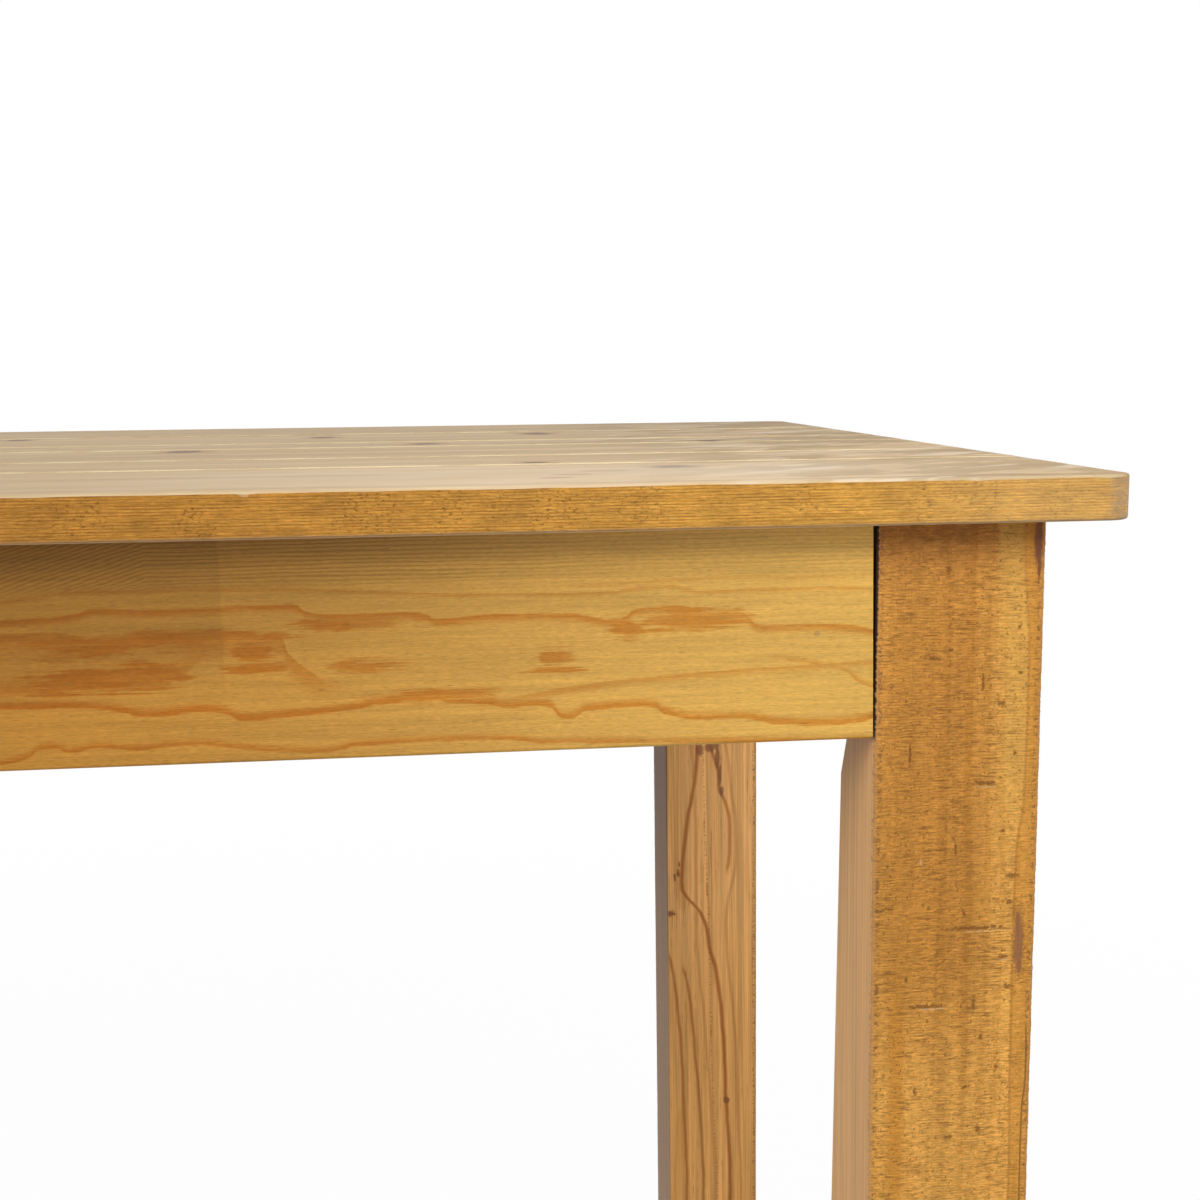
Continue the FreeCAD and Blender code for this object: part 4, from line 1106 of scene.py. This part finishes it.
def leg_ring(z, row, seed):
    """Section of a leg: distances in from the outer faces, going round from the outermost arris."""
    width = LEG_WIDTH
    first, second, fourth = (torn_arris(z, seed + index) for index in range(3))
    cut = inside_corner_cut(row, z)

    def saw_wave(across, face_seed):
        coarse = unevenness(across * 70, z * 90, seed + face_seed)
        return SAW_DEPTH * (coarse + unevenness(across * 25, z * 300, face_seed))

    def run(start, end):
        length = end - start - 2 * LEG_GUARD
        return [start + LEG_GUARD + length * index / (FACE_POINTS - 1) for index in range(FACE_POINTS)]

    ring = [(0.0, first), (MIDWAY * first, MIDWAY * first), (first, 0.0)]
    ring += [(u, saw_wave(u, 11)) for u in run(first, width - second)]
    ring += [(width - second, 0.0), (width - MIDWAY * second, MIDWAY * second), (width, second)]
    ring += [(width, v) for v in run(second, width - cut)]
    ring += [(width, width - cut), (width - cut, width)]
    ring += [(u, width) for u in reversed(run(fourth, width - cut))]
    ring += [(fourth, width), (MIDWAY * fourth, width - MIDWAY * fourth), (0.0, width - fourth)]
    ring += [(saw_wave(v, 17), v) for v in reversed(run(first, width - fourth))]
    return ring


def worn_leg(corner):
    low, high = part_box(f"leg_{corner}")
    row = corner.split("_")[0]
    side_x = 1 if high.x > 0 else -1
    side_y = 1 if high.y > 0 else -1
    outer_x = high.x if side_x > 0 else low.x
    outer_y = high.y if side_y > 0 else low.y
    seed = 20.0 + 7.0 * CORNERS.index(corner)
    start = low.z + FOOT_BEVEL
    heights = [start] + stretch(start, high.z, LEG_RING_STEP)[1:] + [high.z]

    def placed(ring, z, share):
        middle = LEG_WIDTH / 2
        inset = [(middle + (u - middle) * share, middle + (v - middle) * share) for u, v in ring]
        return [(outer_x - side_x * u, outer_y - side_y * v, z) for u, v in inset]

    foot_share = 1.0 - 2.0 * FOOT_BEVEL / LEG_WIDTH
    rings = [placed(leg_ring(start, row, seed), low.z, foot_share)]
    rings += [placed(leg_ring(z, row, seed), z, 1.0) for z in heights]
    cut_start = 2 * (ARRIS_POINTS + FACE_POINTS)
    shape = loft(rings, (cut_start, cut_start + 1))
    set_piece(f"worn_leg_{corner}", shape, [leg_material(corner)], f"leg_{corner}")


def dress_all():
    for number in range(1, PLANK_COUNT + 1):
        worn_plank(number)
    dress("long_apron_front", long_apron_material("front_apron_pine", APRON_MIDDLE, True))
    dress("long_apron_rear", long_apron_material("rear_apron_pine", REAR_FOLD, False))
    for number, side in enumerate(("left", "right")):
        dress(f"end_apron_{side}", end_apron_material(f"{side}_apron_pine", 2.0 + number))
    for corner in CORNERS:
        worn_leg(corner)
    batten_wood = bare_wood_material("batten_pine", "Y", *BARE_PINE, 4.0 * MM, 1.0)
    button_wood = bare_wood_material("button_beech", "X", *BEECH, 2.0 * MM, 4.0)
    dowel_wood = bare_wood_material("dowel_beech", "Y", *BEECH, 2.0 * MM, 7.0)
    zinc = metal_material("zinc_steel", *ZINC)
    yellow_zinc = metal_material("yellow_zinc", *YELLOW_ZINC)
    plastic = plastic_material()
    for side in ("left", "centre", "right"):
        dress(f"cross_batten_{side}", batten_wood)
        dress(f"batten_screws_{side}", yellow_zinc)
    for side in ("front", "rear", "left", "right"):
        dress(f"top_buttons_{side}", button_wood)
    for seam in range(1, PLANK_COUNT):
        dress(f"seam_dowels_{seam}", dowel_wood)
    dress("button_screws", yellow_zinc)
    for corner in CORNERS:
        dress(f"bracket_screws_{corner}", yellow_zinc)
        for name in ("corner_bracket", "hanger_bolts", "bolt_washers", "bolt_nuts"):
            dress(f"{name}_{corner}", zinc)
    dress("foot_glides", plastic)


dress_all()


# Floor, light and camera

WHITE = colour(1.0, 1.0, 1.0)
FLOOR_GREY = colour(0.60, 0.60, 0.60)
FLOOR_REACH = 60.0
SKY_HORIZON = 0.13
SKY_OVERHEAD = 0.37
# Each lamp: its name, place, aim, size and watts
LAMPS = [
    ("key", (1.28, -1.08, 1.70), (0.75, -0.39, 0.66), 0.7, 14.6),
    ("left_lamp", (-2.95, -1.35, 1.54), (0.78, -0.35, 0.5), 1.2, 76.0),
    ("low_front_lamp", (1.3, -3.6, 0.35), (0.8, -0.2, 0.45), 0.9, 16.0),
]
CAMERA_PLACE = Vector((0.5728, -1.1690, 0.8216))
CAMERA_TURN = math.radians(7.565)
CAMERA_DIP = math.radians(10.185)
CAMERA_ROLL = math.radians(-0.567)
CAMERA_LENS = 52.76
CAMERA_SHIFT = (-0.0440, 0.0666)


def seen_directly(shading):
    """1 for what the camera sees straight, in a reflection or through glass."""
    rays = shading.values(shading.add("ShaderNodeLightPath"))
    return shading.largest([rays["Is Camera Ray"], rays["Is Glossy Ray"], rays["Is Transmission Ray"]])


def make_floor():
    """White floor that keeps a faint shadow near the table and is plain white further off."""
    mesh = bpy.data.meshes.new("floor")
    shape = bmesh.new()
    bmesh.ops.create_grid(shape, x_segments=1, y_segments=1, size=FLOOR_REACH)
    shape.to_mesh(mesh)
    shape.free()
    floor = bpy.data.objects.new("floor", mesh)
    bpy.context.scene.collection.objects.link(floor)
    material = bpy.data.materials.new("floor_white")
    material.use_nodes = True
    material.node_tree.nodes.clear()
    shading = Shading(material.node_tree)
    paint = shading.add("ShaderNodeBsdfDiffuse", {"Color": FLOOR_GREY})
    glow = shading.add("ShaderNodeEmission", {"Color": WHITE, "Strength": 1.0})
    length = shading.add("ShaderNodeVectorMath", {"Vector": position_of(shading)}, operation="LENGTH")
    away = shading.values(length)["Value"]
    plain = away.rise(0.8, 2.6).fit(0.02, 0.98)
    blend = shading.add("ShaderNodeMixShader", {"Fac": seen_directly(shading) * plain})
    shading.put(blend.inputs[1], shading.value(paint))
    shading.put(blend.inputs[2], shading.value(glow))
    output = shading.add("ShaderNodeOutputMaterial")
    shading.put(output.inputs[0], shading.value(blend))
    mesh.materials.append(material)


def make_sky():
    """White studio surround that gives more light from overhead than from the sides."""
    world = bpy.data.worlds.new("studio")
    bpy.context.scene.world = world
    world.use_nodes = True
    world.node_tree.nodes.clear()
    shading = Shading(world.node_tree)
    _, _, upward = shading.values(shading.add("ShaderNodeTexCoord"))["Generated"].parts()
    light = upward.rise(0.1, 0.6).fit(SKY_OVERHEAD - SKY_HORIZON, SKY_HORIZON)
    level = shading.math("MAXIMUM", seen_directly(shading), light)
    sky = shading.add("ShaderNodeBackground", {"Color": WHITE, "Strength": level})
    output = shading.add("ShaderNodeOutputWorld")
    shading.put(output.inputs[0], shading.value(sky))


def make_lamp(name, place, aim, size, watts):
    light = bpy.data.lights.new(name, "AREA")
    light.shape = "DISK"
    light.size = size
    light.energy = watts
    lamp = bpy.data.objects.new(name, light)
    bpy.context.scene.collection.objects.link(lamp)
    lamp.location = place
    direction = Vector(aim) - Vector(place)
    lamp.rotation_mode = "QUATERNION"
    lamp.rotation_quaternion = direction.to_track_quat("-Z", "Y")
    lamp.visible_camera = False


def make_camera():
    data = bpy.data.cameras.new("photo_view")
    data.sensor_width = 36.0
    data.lens = CAMERA_LENS
    data.shift_x, data.shift_y = CAMERA_SHIFT
    data.clip_start = 0.02
    data.clip_end = 200.0
    camera = bpy.data.objects.new("photo_view", data)
    bpy.context.scene.collection.objects.link(camera)
    forward = Vector((math.sin(CAMERA_TURN) * math.cos(CAMERA_DIP),
                      math.cos(CAMERA_TURN) * math.cos(CAMERA_DIP), -math.sin(CAMERA_DIP)))
    right = Vector((math.cos(CAMERA_TURN), -math.sin(CAMERA_TURN), 0.0))
    up = right.cross(forward)
    rolled_right = right * math.cos(CAMERA_ROLL) + up * math.sin(CAMERA_ROLL)
    rolled_up = up * math.cos(CAMERA_ROLL) - right * math.sin(CAMERA_ROLL)
    turn = Matrix((rolled_right, rolled_up, -forward)).transposed().to_4x4()
    camera.matrix_world = Matrix.Translation(CAMERA_PLACE) @ turn
    bpy.context.scene.camera = camera


make_floor()
make_sky()
for lamp in LAMPS:
    make_lamp(*lamp)
make_camera()
bpy.context.scene.view_settings.view_transform = "Standard"
